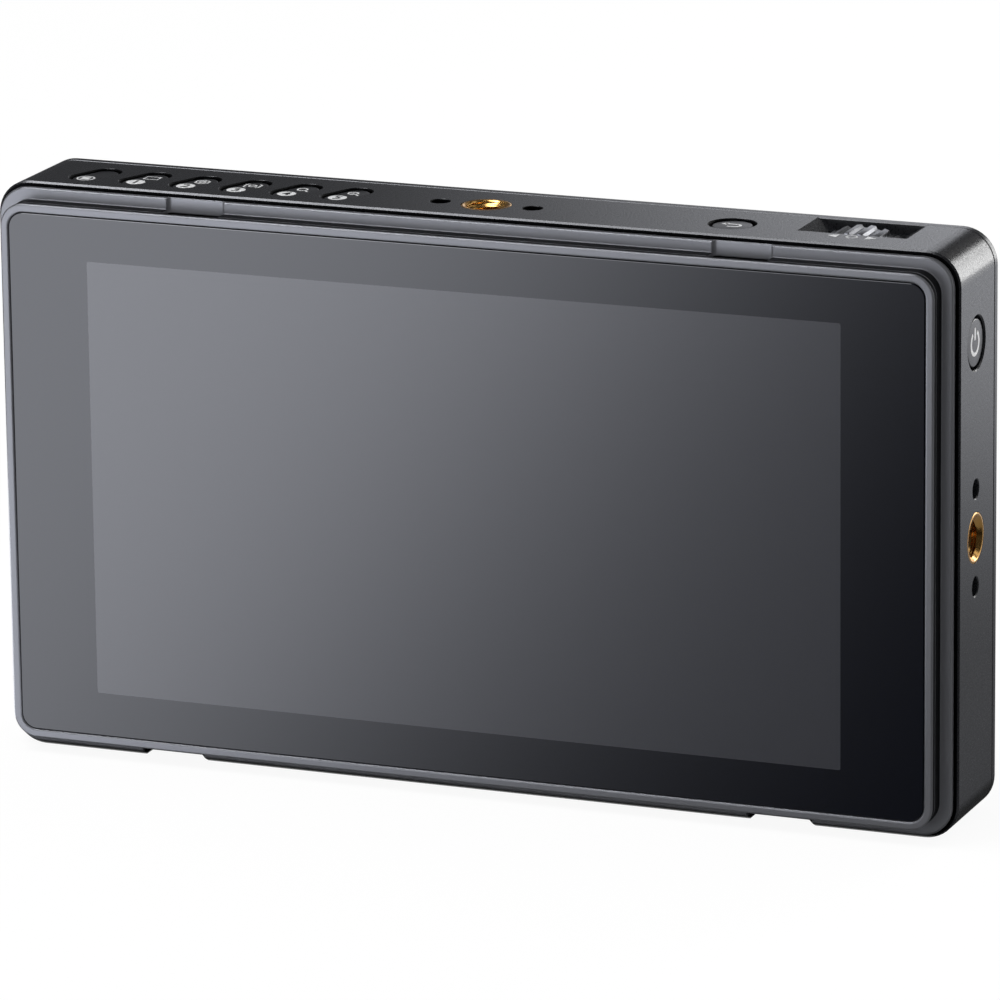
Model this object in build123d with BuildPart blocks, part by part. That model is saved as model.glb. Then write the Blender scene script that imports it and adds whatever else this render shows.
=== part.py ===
from build123d import *
from math import cos, pi, radians
import os

# A 5.5 inch on-camera field monitor in millimetres.
# The origin is the centre of its footprint on the surface that it stands on.
# +X is to the right of someone facing the screen, the screen faces -Y and +Z is up.
# A depth is measured back from the front face of the bezel, and an inset or a drop inwards
# from the outside of the housing.

os.makedirs("parts", exist_ok=True)

# ---- driving sizes ----------------------------------------------------------------------

# housing and rear cover
body_width = 155.6
body_height = 90.0
body_corner = 5.4
wall = 1.8
housing_front = 4.95
housing_back = 20.8
housing_bevel = 0.3
seam_bevel = 0.2
cover_thickness = 1.8
cover_bevel = 0.4
lip_wall = 1.2
lip_gap = 0.1
cover_lip = 2.4
frame_lip = 1.3

# front frame
bezel_inset = 2.5
bezel_face = 1.3
bezel_bevel = 0.2
bezel_corner = 3.7
pocket_edge = 0.2
line_start = 1.2
line_width = 0.45
line_depth = 0.25
rim_inset = 0.75
rim_depth = 3.7
rim_thickness = 1.0
rim_bevel = 0.2
rim_corner = 4.65
web_back = 3.0

# notches that take the clips of a sun hood
hood_clip_width = 9.5
hood_top_spread = 88.4
hood_top_start = 1.1
hood_top_bite = 1.0
hood_top_sink = 0.7
hood_top_corner = 1.0
hood_top_scoop = 0.6
hood_base_width = 10.4
hood_base_spread = 99.8
hood_base_reach = 7.6
hood_base_slope = 45

# glass and display
glass_gap = 0.1
glass_recess = 0.05
glass_thickness = 0.7
glass_bevel = 0.1
bond = 0.2
tape_width = 6.0
tape_inset = 0.5
side_border = 16.92
end_border = 10.755
cell_border = 2.8
cell_thickness = 1.2
cell_gap = 0.4
backlight_thickness = 2.2
tray_sheet = 0.3
tray_flange = 3.2
tray_flange_end = 5.0
tray_gap = 0.1

# screw posts, long case screws
post_radius = 2.4
post_inset = 4.2
middle_post_inset = 3.2
post_spread = 30.8
post_front = 5.4
screw_radius = 1.0
screw_gap = 0.05
screw_head_radius = 1.9
screw_head_height = 0.8
screw_bite = 1.6
screw_socket = 0.8
plate_screw_radius = 0.9
plate_screw_head = 1.7
plate_screw_head_height = 0.7
plate_screw_spread_x = 28.0
plate_screw_end = 13.0
rib_thickness = 1.2
rib_gap = 0.3

# heat spreader and main board
spreader_thickness = 1.0
spreader_side_gap = 9.0
spreader_end_gap = 10.2
board_standoff = 1.9
board_thickness = 1.2
board_left_gap = 4.2
board_right_gap = 39.8
board_end_gap = 12.2
standoff_radius = 2.0
standoff_inset_x = 14.0
standoff_inset_z = 5.0
standoff_screw_radius = 0.9
standoff_screw_head = 0.9
processor_size = 16.0
processor_thickness = 1.2
shield_width = 30.0
shield_height = 26.0
shield_thickness = 2.4
part_rows = 5
part_columns = 3
part_pitch = 5.0
part_size = 2.6
part_shape = 0.6
board_margin = 2.0

# camera threads and their anti-twist pins
control_depth = 12.4
insert_radius = 3.9
insert_length = 8.0
insert_gap = 0.02
thread_radius = 2.6
thread_length = 7.0
thread_mouth = 3.45
edge_slope = 45
insert_boss_radius = 5.4
pin_hole_radius = 1.5
pin_hole_depth = 4.5
pin_hole_spacing = 15.0
pin_edge = 0.15
pin_boss_wall = 1.2
boss_floor = 1.0

# push buttons, all built the same way
button_gap = 0.45
button_edge = 0.2
button_sink = 0.1
button_crown = 0.25
button_flange = 0.7
button_flange_thickness = 0.8
button_play = 0.05
button_travel = 0.35
button_stem_radius = 1.1
button_stem = 1.2
switch_size = 3.6
switch_height = 1.6
switch_plunger_radius = 0.8
switch_plunger = 0.4
switch_board = 1.0
switch_board_depth = 10.4
stake_radius = 0.8
stake_pin_radius = 0.5
stake_gap = 0.05
stake_end = 0.6

function_count = 6
function_land = 3.9
function_slant = 22.0
function_length = 8.3
function_end = 13.0
function_middle_gap = 22.8
return_end = 38.3
return_radius = 3.1
power_drop = 15.2
power_radius = 3.65

# menu wheel in its scooped recess
wheel_end = 19.1
wheel_radius = 10.5
wheel_width = 6.6
wheel_ribs = 30
wheel_rib_depth = 0.45
wheel_rib_share = 0.5
wheel_hub_radius = 3.0
wheel_rim_wall = 2.0
wheel_web = 2.0
wheel_proud = 0.1
wheel_front = -0.8
wheel_gap = 0.3
scoop_half_width = 8.6
scoop_depth = 1.7
scoop_run = 3.0
scoop_floor = 1.4
scoop_wall = 2.2
axle_radius = 1.2
axle_gap = 0.05
cradle_sheet = 1.2
cradle_half_width = 5.5
cradle_top_gap = 0.8
wheel_press = 0.4
guide_sheet = 0.8
guide_gap = 0.1
guide_side = 1.5
encoder_radius = 6.5
encoder_thickness = 1.6

# sockets on the left side, each as a rise from mid height
socket_sink = 0.2
socket_gap = 0.15
socket_shell = 0.4
video_width = 15.0
video_height = 5.6
video_length = 11.5
video_corner = 0.3
video_in_rise = 5.0
video_out_rise = -12.0
usb_width = 9.0
usb_height = 3.3
usb_length = 7.6
usb_rise = -25.5
power_jack_rise = 18.5
power_jack_size = 8.0
power_jack_length = 11.0
power_jack_mouth = 3.2
power_pin_radius = 1.0
phone_rise = 27.5
phone_size = 6.0
phone_length = 10.0
phone_mouth = 1.95
usb_corner = 1.5
usb_tongue = 0.7
tongue_sink = 2.0
tongue_thickness = 1.2
tongue_margin = 3.5

# ribbons and leads
ribbon_thickness = 0.2
ribbon_bend = 0.8
ribbon_clear = 2.0
ribbon_overlap = 6.0
ribbon_plug = 1.0
ribbon_plug_height = 4.0
panel_ribbon_x = 0.0
panel_ribbon_width = 22.0
button_ribbon_x = -30.0
button_ribbon_width = 10.0
button_ribbon_depth = 14.5
lead_radius = 0.6
lead_bend = 1.6
lead_depth = 15.0
lead_end = 10.0

# battery plate on the rear cover
plate_width = 45.0
plate_end_gap = 6.0
plate_floor = 2.2
plate_corner = 2.0
battery_width = 38.8
rail_height = 3.8
rail_lip = 1.6
rail_lip_thickness = 1.3
rail_segment = 12.0
rail_count = 3
plate_stop = 2.6
contact_width = 24.0
contact_height = 6.0
contact_thickness = 3.2
contact_pitch = 7.0
contact_tail_width = 18.0
contact_tail_height = 3.0
blade_thickness = 0.7
blade_height = 2.2
blade_length = 4.5

# battery latch
latch_x = 10.0
latch_above_base = 18.0
latch_width = 5.0
latch_depth = 3.6
latch_stand = 1.8
latch_gap = 0.2
latch_flange = 1.0
release_x = 31.0
release_width = 7.0
release_height = 10.0
release_thickness = 1.6
release_stem = 3.6
release_travel = 2.0
release_gap = 0.2
release_arm = 1.0
release_arm_height = 3.4
keeper_sheet = 0.8
latch_spring_radius = 1.4
latch_spring_length = 1.2
release_above_latch = 4.0
release_floor = 0.8
release_corner = 0.6
release_grips = 3
release_grip = 0.4
release_grip_width = 0.8
latch_slope_share = 0.8
latch_spring_wire = 0.4
keeper_foot = 2.0

# vents in the rear cover
vent_count = 9
vent_pitch = 4.0
vent_width = 1.6
vent_length = 26.0
vent_end = 29.8
vent_rise = 4.0

# ---- sizes that follow ------------------------------------------------------------------

cover_back = housing_back + cover_thickness
plate_face = cover_back + plate_floor
overall_depth = plate_face + rail_height
mid_z = body_height / 2
axis_y = control_depth - overall_depth / 2

inner_width = body_width - 2 * wall
inner_height = body_height - 2 * wall
inner_corner = body_corner - wall
active_width = body_width - 2 * side_border
active_height = body_height - 2 * end_border
lip_width = inner_width - 2 * lip_gap
lip_height = inner_height - 2 * lip_gap
lip_corner = inner_corner - lip_gap
lip_inner_width = lip_width - 2 * lip_wall
lip_inner_height = lip_height - 2 * lip_wall
lip_inner_corner = lip_corner - lip_wall

bezel_width = body_width - 2 * bezel_inset
bezel_height = body_height - 2 * bezel_inset
pocket_width = bezel_width - 2 * bezel_face
pocket_height = bezel_height - 2 * bezel_face
pocket_corner = bezel_corner - bezel_face + glass_gap
glass_width = pocket_width - 2 * glass_gap
glass_height = pocket_height - 2 * glass_gap
glass_corner = pocket_corner - glass_gap
glass_back = glass_recess + glass_thickness
seat_depth = glass_back + bond

cell_width = active_width + 2 * cell_border
cell_height = active_height + 2 * cell_border
window_width = cell_width + 2 * cell_gap
window_height = cell_height + 2 * cell_gap
cell_back = seat_depth + cell_thickness
backlight_back = cell_back + backlight_thickness
tray_back = backlight_back + tray_sheet

post_x = inner_width / 2 - post_inset
post_z = inner_height / 2 - post_inset
corner_posts = [(sx * post_x, sz * post_z) for sx in (-1, 1) for sz in (-1, 1)]
middle_post_z = inner_height / 2 - middle_post_inset
middle_posts = [(sx * post_spread / 2, sz * middle_post_z) for sx in (-1, 1) for sz in (-1, 1)]
all_posts = corner_posts + middle_posts

spreader_width = inner_width - 2 * spreader_side_gap
spreader_height = inner_height - 2 * spreader_end_gap
spreader_back = post_front + spreader_thickness
board_front = spreader_back + board_standoff
board_back = board_front + board_thickness
board_width = inner_width - board_left_gap - board_right_gap
board_height = inner_height - 2 * board_end_gap
board_x = (board_left_gap - board_right_gap) / 2
standoffs = [
    (board_x + sx * (board_width / 2 - standoff_inset_x), sz * (board_height / 2 - standoff_inset_z))
    for sx in (-1, 1)
    for sz in (-1, 1)
]

flange_top = wall + button_play
flange_end = flange_top + button_flange_thickness
stem_end = flange_end + button_stem
plunger_top = stem_end + button_travel + button_play
switch_top = plunger_top + switch_plunger
switch_seat = switch_top + switch_height
switch_board_back = switch_seat + switch_board

function_first = function_end - body_width / 2
function_pitch = (-function_middle_gap - function_first) / (function_count - 1)
function_width = function_pitch * cos(radians(function_slant)) - function_land
function_xs = [function_first + i * function_pitch for i in range(function_count)]
function_stakes = [x + function_pitch / 2 for x in function_xs[:-1]]
return_x = body_width / 2 - return_end
power_rise = body_height / 2 - power_drop
wheel_x = body_width / 2 - wheel_end
return_stake = return_radius + button_flange + stake_radius + button_gap
power_stake = power_radius + button_flange + stake_radius + button_gap

wheel_drop = wheel_radius - wheel_proud
wheel_middle = wheel_front + wheel_width / 2
well_end = scoop_depth + scoop_floor
cradle_front = wheel_front - wheel_gap - cradle_sheet
cradle_rear = wheel_front + wheel_width + wheel_gap + cradle_sheet
cradle_top = well_end + cradle_top_gap
cradle_end = wheel_drop + wheel_radius + wheel_gap + cradle_sheet
guide_front = cradle_front - guide_gap - guide_sheet
guide_rear = cradle_rear + guide_gap + guide_sheet
menu_plunger_top = cradle_end + wheel_press + button_play
menu_switch_seat = menu_plunger_top + switch_plunger + switch_height
guide_end = menu_switch_seat + guide_sheet

plate_height = body_height - 2 * plate_end_gap
plate_base = -plate_height / 2
plate_screw_spread_z = plate_height - 2 * plate_screw_end
plate_screw_places = [
    (sx * plate_screw_spread_x / 2, sz * plate_screw_spread_z / 2) for sx in (-1, 1) for sz in (-1, 1)
]
latch_rise = plate_base + latch_above_base
release_rise = latch_rise + release_above_latch
rail_outer = plate_width / 2
rail_inner = battery_width / 2


# ---- planes and small shapes ------------------------------------------------------------

def face_plane(depth):
    """Parallel to the screen at a depth, its normal towards the viewer and its middle at mid height."""
    return Plane(origin=(0, depth - overall_depth / 2, mid_z), x_dir=(1, 0, 0), z_dir=(0, -1, 0))


def top_plane(drop=0.0):
    """Parallel to the top, its y running back from the line through the middle of the controls."""
    return Plane(origin=(0, axis_y, body_height - drop), x_dir=(1, 0, 0), z_dir=(0, 0, 1))


def base_plane(rise=0.0):
    """Parallel to the base and facing down, its y running forwards."""
    return Plane(origin=(0, axis_y, rise), x_dir=(1, 0, 0), z_dir=(0, 0, -1))


def right_plane(inset=0.0):
    """Parallel to the right side, x running back and y up from mid height."""
    return Plane(origin=(body_width / 2 - inset, axis_y, mid_z), x_dir=(0, 1, 0), z_dir=(1, 0, 0))


def left_plane(inset=0.0):
    """Parallel to the left side, x running forwards and y up from mid height."""
    return Plane(origin=(inset - body_width / 2, axis_y, mid_z), x_dir=(0, -1, 0), z_dir=(-1, 0, 0))


def wheel_plane(y):
    """Facing the viewer at a distance behind the line of the controls, its middle on the wheel's axis."""
    return Plane(
        origin=(wheel_x, axis_y + y, body_height - wheel_drop), x_dir=(1, 0, 0), z_dir=(0, -1, 0)
    )


def slab(plane, width, height, thickness, corner=0.0, at=(0, 0), mode=Mode.ADD, taper=0.0):
    """A plate that goes inwards from its plane, and narrows as it goes if it has a taper."""
    with BuildSketch(plane) as outline:
        with Locations(at):
            if corner > 0:
                RectangleRounded(width, height, corner)
            else:
                Rectangle(width, height)
    extrude(outline.sketch, amount=-thickness, taper=taper, mode=mode)


def disc(plane, radius, thickness, at=(0, 0), mode=Mode.ADD, taper=0.0):
    """A round plate that goes inwards from its plane as a slab does."""
    with BuildSketch(plane) as outline:
        with Locations(at):
            Circle(radius)
    extrude(outline.sketch, amount=-thickness, taper=taper, mode=mode)


def pill(plane, width, length, thickness, at=(0, 0), mode=Mode.ADD, taper=0.0, slant=0.0):
    """A round-ended plate that goes inwards from its plane as a slab does. It is long in the plane's
    y, from which its far end leans towards x by the slant."""
    with BuildSketch(plane) as outline:
        with Locations(at):
            SlotOverall(length, width, rotation=90 - slant)
    extrude(outline.sketch, amount=-thickness, taper=taper, mode=mode)


def bevelled_slab(plane, width, height, thickness, corner, bevel):
    """A plate whose outer edge is bevelled on the side that the plane faces."""
    with BuildPart() as block:
        slab(plane, width, height, thickness, corner)
        outer_face = block.faces().sort_by(Axis(plane.origin, plane.z_dir))[-1]
        chamfer(outer_face.edges(), bevel)
    add(block.part)


def function_outline(plane, grow, thickness, at, mode=Mode.ADD, taper=0.0):
    width = function_width + 2 * grow
    length = function_length + 2 * grow
    pill(plane, width, length, thickness, at, mode, taper, function_slant)


def return_outline(plane, grow, thickness, at, mode=Mode.ADD, taper=0.0):
    disc(plane, return_radius + grow, thickness, at, mode, taper)


def power_outline(plane, grow, thickness, at, mode=Mode.ADD, taper=0.0):
    disc(plane, power_radius + grow, thickness, at, mode, taper)


def finish(piece, name):
    piece.part.label = name
    export_step(piece.part, f"parts/{name}.step")


# ---- front frame: bezel, rim, web behind the glass and lip into the housing ---------------

rim_back = rim_depth + rim_thickness
frame_back = housing_front + frame_lip
hood_top_x = hood_top_spread / 2
hood_base_x = hood_base_spread / 2
hood_base_depth = body_height / 2 - lip_height / 2

with BuildPart() as front_frame:
    bevelled_slab(face_plane(0), bezel_width, bezel_height, rim_back, bezel_corner, bezel_bevel)
    with BuildSketch(face_plane(line_start)):
        RectangleRounded(bezel_width + line_depth, bezel_height + line_depth, bezel_corner)
        RectangleRounded(
            bezel_width - 2 * line_depth,
            bezel_height - 2 * line_depth,
            bezel_corner - line_depth,
            mode=Mode.SUBTRACT,
        )
    extrude(amount=-line_width, mode=Mode.SUBTRACT)
    bevelled_slab(
        face_plane(rim_depth),
        body_width - 2 * rim_inset,
        body_height - 2 * rim_inset,
        rim_thickness,
        rim_corner,
        rim_bevel,
    )
    slab(face_plane(rim_depth), lip_width, lip_height, frame_back - rim_depth, lip_corner)
    slab(face_plane(0), pocket_width, pocket_height, seat_depth, pocket_corner, mode=Mode.SUBTRACT)
    slab(
        face_plane(0),
        pocket_width + 2 * pocket_edge,
        pocket_height + 2 * pocket_edge,
        pocket_edge,
        pocket_corner + pocket_edge,
        mode=Mode.SUBTRACT,
        taper=edge_slope,
    )
    slab(face_plane(0), window_width, window_height, web_back, mode=Mode.SUBTRACT)
    slab(
        face_plane(web_back),
        lip_inner_width,
        lip_inner_height,
        frame_back - web_back,
        lip_inner_corner,
        mode=Mode.SUBTRACT,
    )
    for post in all_posts:
        disc(face_plane(web_back), post_radius, post_front - web_back, post)
        disc(
            face_plane(post_front),
            screw_radius + screw_gap,
            -screw_bite,
            post,
            mode=Mode.SUBTRACT,
        )
    hood_top_height = body_height / 2
    for side in (-1, 1):
        with BuildPart() as clip:
            slab(
                face_plane(hood_top_start),
                hood_clip_width,
                hood_top_height,
                rim_depth + hood_top_sink - hood_top_start,
                hood_top_corner,
                (side * hood_top_x, bezel_height / 2 - hood_top_bite + hood_top_height / 2),
            )
            fillet(clip.faces().sort_by(Axis.Y)[-1].edges(), hood_top_scoop)
        add(clip.part, mode=Mode.SUBTRACT)
        slab(
            face_plane(rim_depth),
            hood_base_width,
            hood_base_depth,
            rim_thickness,
            0,
            (side * hood_base_x, -lip_height / 2 - hood_base_depth / 2),
            Mode.SUBTRACT,
        )
finish(front_frame, "front_frame")

# ---- glass and display stack --------------------------------------------------------------

with BuildPart() as cover_glass:
    bevelled_slab(
        face_plane(glass_recess), glass_width, glass_height, glass_thickness, glass_corner, glass_bevel
    )
finish(cover_glass, "cover_glass")

with BuildPart() as glass_tape:
    tape_outer_width = glass_width - 2 * tape_inset
    tape_outer_height = glass_height - 2 * tape_inset
    slab(face_plane(glass_back), tape_outer_width, tape_outer_height, bond, glass_corner - tape_inset)
    slab(
        face_plane(glass_back),
        max(tape_outer_width - 2 * tape_width, window_width),
        window_height,
        bond,
        mode=Mode.SUBTRACT,
    )
finish(glass_tape, "glass_tape")

with BuildPart() as touch_sensor:
    slab(face_plane(glass_back), cell_width, cell_height, bond)
finish(touch_sensor, "touch_sensor")

with BuildPart() as lcd_cell:
    slab(face_plane(seat_depth), cell_width, cell_height, cell_thickness)
finish(lcd_cell, "lcd_cell")

with BuildPart() as backlight:
    slab(face_plane(cell_back), cell_width, cell_height, backlight_thickness)
finish(backlight, "backlight")

with BuildPart() as panel_tray:
    tray_width = cell_width + 2 * (tray_gap + tray_sheet)
    tray_height = cell_height + 2 * (tray_gap + tray_sheet)
    slab(face_plane(web_back), tray_width, tray_height, tray_back - web_back)
    slab(
        face_plane(web_back),
        cell_width + 2 * tray_gap,
        cell_height + 2 * tray_gap,
        backlight_back - web_back,
        mode=Mode.SUBTRACT,
    )
    for side in (-1, 1):
        slab(
            face_plane(web_back),
            tray_flange,
            active_height - 2 * tray_flange_end,
            tray_sheet,
            at=(side * (tray_width + tray_flange) / 2, 0),
        )
finish(panel_tray, "panel_tray")

with BuildPart() as panel_pad:
    slab(face_plane(tray_back), active_width / 2, active_height / 2, post_front - tray_back)
finish(panel_pad, "panel_pad")

# ---- main housing -------------------------------------------------------------------------

housing_depth = housing_back - housing_front
rib_front = frame_back + rib_gap
rib_back = housing_back - cover_lip - rib_gap
boss_depth = insert_length + boss_floor
pin_boss_radius = pin_hole_radius + pin_boss_wall
pin_boss_depth = pin_hole_depth + boss_floor
well_front = wheel_front - wheel_gap
well_back = housing_back - control_depth
well_length = well_back - well_front + scoop_wall
well_middle = well_back - well_length / 2


def insert_boss(plane):
    """Thickens the wall round a threaded insert and the two pin holes beside it."""
    disc(plane, insert_boss_radius, boss_depth)
    for side in (-1, 1):
        disc(plane, pin_boss_radius, pin_boss_depth, (side * pin_hole_spacing / 2, 0))


def insert_holes(plane):
    """The seat of a threaded insert, with a pin hole on each side of it."""
    disc(plane, insert_radius + insert_gap, insert_length, mode=Mode.SUBTRACT)
    for side in (-1, 1):
        place = (side * pin_hole_spacing / 2, 0)
        disc(plane, pin_hole_radius, pin_hole_depth, place, Mode.SUBTRACT)
        disc(plane, pin_hole_radius + pin_edge, pin_edge, place, Mode.SUBTRACT, edge_slope)


def button_hole(plane, outline, at):
    """A hole round a button's cap, with its outer edge broken."""
    outline(plane, button_gap, wall, at, Mode.SUBTRACT)
    outline(plane, button_gap + button_edge, button_edge, at, Mode.SUBTRACT, edge_slope)


def stake(plane_at, at):
    """A shouldered pin that a switch board is held on."""
    disc(plane_at(wall), stake_radius, switch_seat - wall, at)
    disc(plane_at(switch_seat), stake_pin_radius, switch_board + stake_end, at)


def side_insert_plane():
    """The right side, turned so that the pins of its insert lie one above the other."""
    return Plane(origin=right_plane().origin, x_dir=(0, 0, 1), z_dir=(1, 0, 0))


with BuildPart() as main_housing:
    bevelled_slab(
        face_plane(housing_front), body_width, body_height, housing_depth, body_corner, housing_bevel
    )
    chamfer(main_housing.faces().sort_by(Axis.Y)[-1].edges(), seam_bevel)
    slab(
        face_plane(housing_front),
        inner_width,
        inner_height,
        housing_depth,
        inner_corner,
        mode=Mode.SUBTRACT,
    )
    # posts, tied to the walls by ribs
    for post in corner_posts:
        disc(face_plane(post_front), post_radius, housing_back - post_front, post)
    for post in middle_posts:
        disc(face_plane(spreader_back), post_radius, housing_back - spreader_back, post)
    for x, z in all_posts:
        rib_end = (inner_height + wall) / 2
        slab(
            face_plane(rib_front),
            rib_thickness,
            rib_end - abs(z),
            rib_back - rib_front,
            at=(x, (z + rib_end * z / abs(z)) / 2),
        )
    for post in all_posts:
        disc(
            face_plane(post_front),
            screw_radius + screw_gap,
            housing_back - post_front,
            post,
            mode=Mode.SUBTRACT,
        )
    # bosses for the camera threads
    for plane in (top_plane(), base_plane(), side_insert_plane()):
        insert_boss(plane)
        insert_holes(plane)
    # stakes for the switch boards
    for x in function_stakes:
        stake(top_plane, (x, 0))
    for side in (-1, 1):
        stake(top_plane, (return_x + side * return_stake, 0))
        stake(right_plane, (0, power_rise + side * power_stake))
    # button holes
    for x in function_xs:
        button_hole(top_plane(), function_outline, (x, 0))
    button_hole(top_plane(), return_outline, (return_x, 0))
    button_hole(right_plane(), power_outline, (0, power_rise))
    # scooped recess round the menu wheel, open to the rear cover
    slab(
        top_plane(wall / 2),
        2 * (scoop_half_width + scoop_wall),
        well_length,
        well_end - wall / 2,
        at=(wheel_x, well_middle),
    )
    with BuildSketch(wheel_plane(well_front)):
        with BuildLine():
            Polyline(
                (-scoop_half_width, wheel_drop),
                (scoop_run - scoop_half_width, wheel_drop - scoop_depth),
                (scoop_half_width - scoop_run, wheel_drop - scoop_depth),
                (scoop_half_width, wheel_drop),
                close=True,
            )
        make_face()
    extrude(amount=-(well_back - well_front), mode=Mode.SUBTRACT)
    disc(wheel_plane(well_front), wheel_radius + wheel_gap, wheel_width + 2 * wheel_gap, mode=Mode.SUBTRACT)
    # windows for the sockets
    for rise, width, height, corner in (
        (video_in_rise, video_width, video_height, video_corner),
        (video_out_rise, video_width, video_height, video_corner),
        (usb_rise, usb_width, usb_height, usb_corner),
    ):
        slab(
            left_plane(),
            height + 2 * socket_gap,
            width + 2 * socket_gap,
            wall,
            corner,
            (control_depth - board_back - height / 2, rise),
            Mode.SUBTRACT,
        )
    disc(
        left_plane(),
        power_jack_mouth + socket_gap,
        wall,
        (control_depth - board_back - power_jack_size / 2, power_jack_rise),
        Mode.SUBTRACT,
    )
    disc(
        left_plane(),
        phone_mouth + socket_gap,
        wall,
        (control_depth - board_back - phone_size / 2, phone_rise),
        Mode.SUBTRACT,
    )
    # lower hood notches, cut through the wall's front edge with sloped ends
    for side in (-1, 1):
        with BuildSketch(face_plane(housing_front)) as notch:
            with Locations((side * hood_base_x, -inner_height / 2 - wall / 2)):
                Trapezoid(hood_base_width, wall, hood_base_slope)
        extrude(notch.sketch, amount=housing_front - hood_base_reach, mode=Mode.SUBTRACT)
finish(main_housing, "main_housing")

# ---- rear cover ---------------------------------------------------------------------------

contact_rise = plate_base + plate_stop + contact_height / 2
release_recess = cover_thickness - release_floor
release_slot = release_stem + 2 * release_gap


def back_plane(depth):
    """Parallel to the screen and facing backwards, so its x runs to -X."""
    return Plane(origin=(0, depth - overall_depth / 2, mid_z), x_dir=(-1, 0, 0), z_dir=(0, 1, 0))


with BuildPart() as rear_cover:
    bevelled_slab(
        back_plane(cover_back), body_width, body_height, cover_thickness, body_corner, cover_bevel
    )
    chamfer(rear_cover.faces().sort_by(Axis.Y)[0].edges(), seam_bevel)
    slab(face_plane(housing_back - cover_lip), lip_width, lip_height, cover_lip, lip_corner)
    slab(
        face_plane(housing_back - cover_lip),
        lip_inner_width,
        lip_inner_height,
        cover_lip,
        lip_inner_corner,
        mode=Mode.SUBTRACT,
    )
    # the lip makes way for the middle posts and for the block round the menu wheel
    for post in middle_posts:
        slab(
            face_plane(housing_back - cover_lip),
            2 * (post_radius + lip_gap),
            2 * (middle_post_inset + lip_gap),
            cover_lip,
            at=post,
            mode=Mode.SUBTRACT,
        )
    slab(
        face_plane(housing_back - cover_lip),
        2 * (scoop_half_width + scoop_wall + lip_gap),
        2 * well_end,
        cover_lip,
        at=(wheel_x, body_height / 2),
        mode=Mode.SUBTRACT,
    )
    for post in all_posts:
        at = (-post[0], post[1])
        disc(back_plane(cover_back), screw_radius + screw_gap, cover_thickness, at, Mode.SUBTRACT)
        disc(
            back_plane(cover_back),
            screw_head_radius + lip_gap,
            screw_head_height + lip_gap,
            at,
            Mode.SUBTRACT,
        )
    for side in (-1, 1):
        for i in range(vent_count):
            x = side * (body_width / 2 - vent_end + (i - (vent_count - 1) / 2) * vent_pitch)
            pill(
                back_plane(cover_back),
                vent_width,
                vent_length,
                cover_thickness,
                (x, vent_rise),
                Mode.SUBTRACT,
            )
    # windows for the latch, its release slide and the tail of the contact block
    slab(
        back_plane(cover_back),
        latch_width + 2 * latch_gap,
        latch_depth + 2 * latch_gap,
        cover_thickness,
        at=(-latch_x, latch_rise),
        mode=Mode.SUBTRACT,
    )
    slab(
        back_plane(cover_back),
        release_width + 2 * release_gap,
        release_height + release_travel + 2 * release_gap,
        release_recess,
        at=(-release_x, release_rise - release_travel / 2),
        mode=Mode.SUBTRACT,
    )
    slab(
        back_plane(cover_back),
        release_slot,
        release_slot + release_travel,
        cover_thickness,
        at=(-release_x, release_rise - release_travel / 2),
        mode=Mode.SUBTRACT,
    )
    slab(
        back_plane(cover_back),
        contact_tail_width + 2 * lip_gap,
        contact_tail_height + 2 * lip_gap,
        cover_thickness,
        at=(0, contact_rise),
        mode=Mode.SUBTRACT,
    )
    for at in plate_screw_places:
        disc(back_plane(cover_back), plate_screw_radius + screw_gap, cover_thickness, at, Mode.SUBTRACT)
finish(rear_cover, "rear_cover")

with BuildPart() as case_screws:
    shank_end = post_front - screw_bite + lip_gap
    head_seat = cover_back - screw_head_height - lip_gap
    for x, z in all_posts:
        disc(back_plane(head_seat + screw_head_height), screw_head_radius, screw_head_height, (-x, z))
        disc(back_plane(head_seat), screw_radius, head_seat - shank_end, (-x, z))
        with BuildSketch(back_plane(head_seat + screw_head_height)) as socket:
            with Locations((-x, z)):
                RegularPolygon(screw_socket, 6)
        extrude(socket.sketch, amount=-screw_head_height / 2, mode=Mode.SUBTRACT)
finish(case_screws, "case_screws")

# ---- battery plate ------------------------------------------------------------------------

with BuildPart() as battery_plate:
    slab(back_plane(plate_face), plate_width, plate_height, plate_floor, plate_corner)
    rail_thickness = rail_outer - rail_inner
    for side in (-1, 1):
        slab(
            back_plane(overall_depth),
            rail_thickness,
            plate_height - 2 * plate_corner,
            rail_height,
            at=(side * (rail_outer - rail_thickness / 2), 0),
        )
        for i in range(rail_count):
            rise = (i - (rail_count - 1) / 2) * (plate_height - 2 * plate_corner - rail_segment)
            slab(
                back_plane(overall_depth),
                rail_lip,
                rail_segment,
                rail_lip_thickness,
                at=(side * (rail_inner - rail_lip / 2), rise / (rail_count - 1)),
            )
    slab(
        back_plane(overall_depth),
        battery_width,
        plate_stop,
        rail_height,
        at=(0, plate_base + plate_stop / 2),
    )
    slab(
        back_plane(plate_face),
        latch_width + 2 * latch_gap,
        latch_depth + 2 * latch_gap,
        plate_floor,
        at=(-latch_x, latch_rise),
        mode=Mode.SUBTRACT,
    )
    slab(
        back_plane(plate_face),
        contact_tail_width + 2 * lip_gap,
        contact_tail_height + 2 * lip_gap,
        plate_floor,
        at=(0, contact_rise),
        mode=Mode.SUBTRACT,
    )
    for at in plate_screw_places:
        disc(back_plane(plate_face), plate_screw_radius + screw_gap, plate_floor, at, Mode.SUBTRACT)
        disc(
            back_plane(plate_face),
            plate_screw_head + lip_gap,
            plate_screw_head_height + lip_gap,
            at,
            Mode.SUBTRACT,
        )
finish(battery_plate, "battery_plate")

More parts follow.
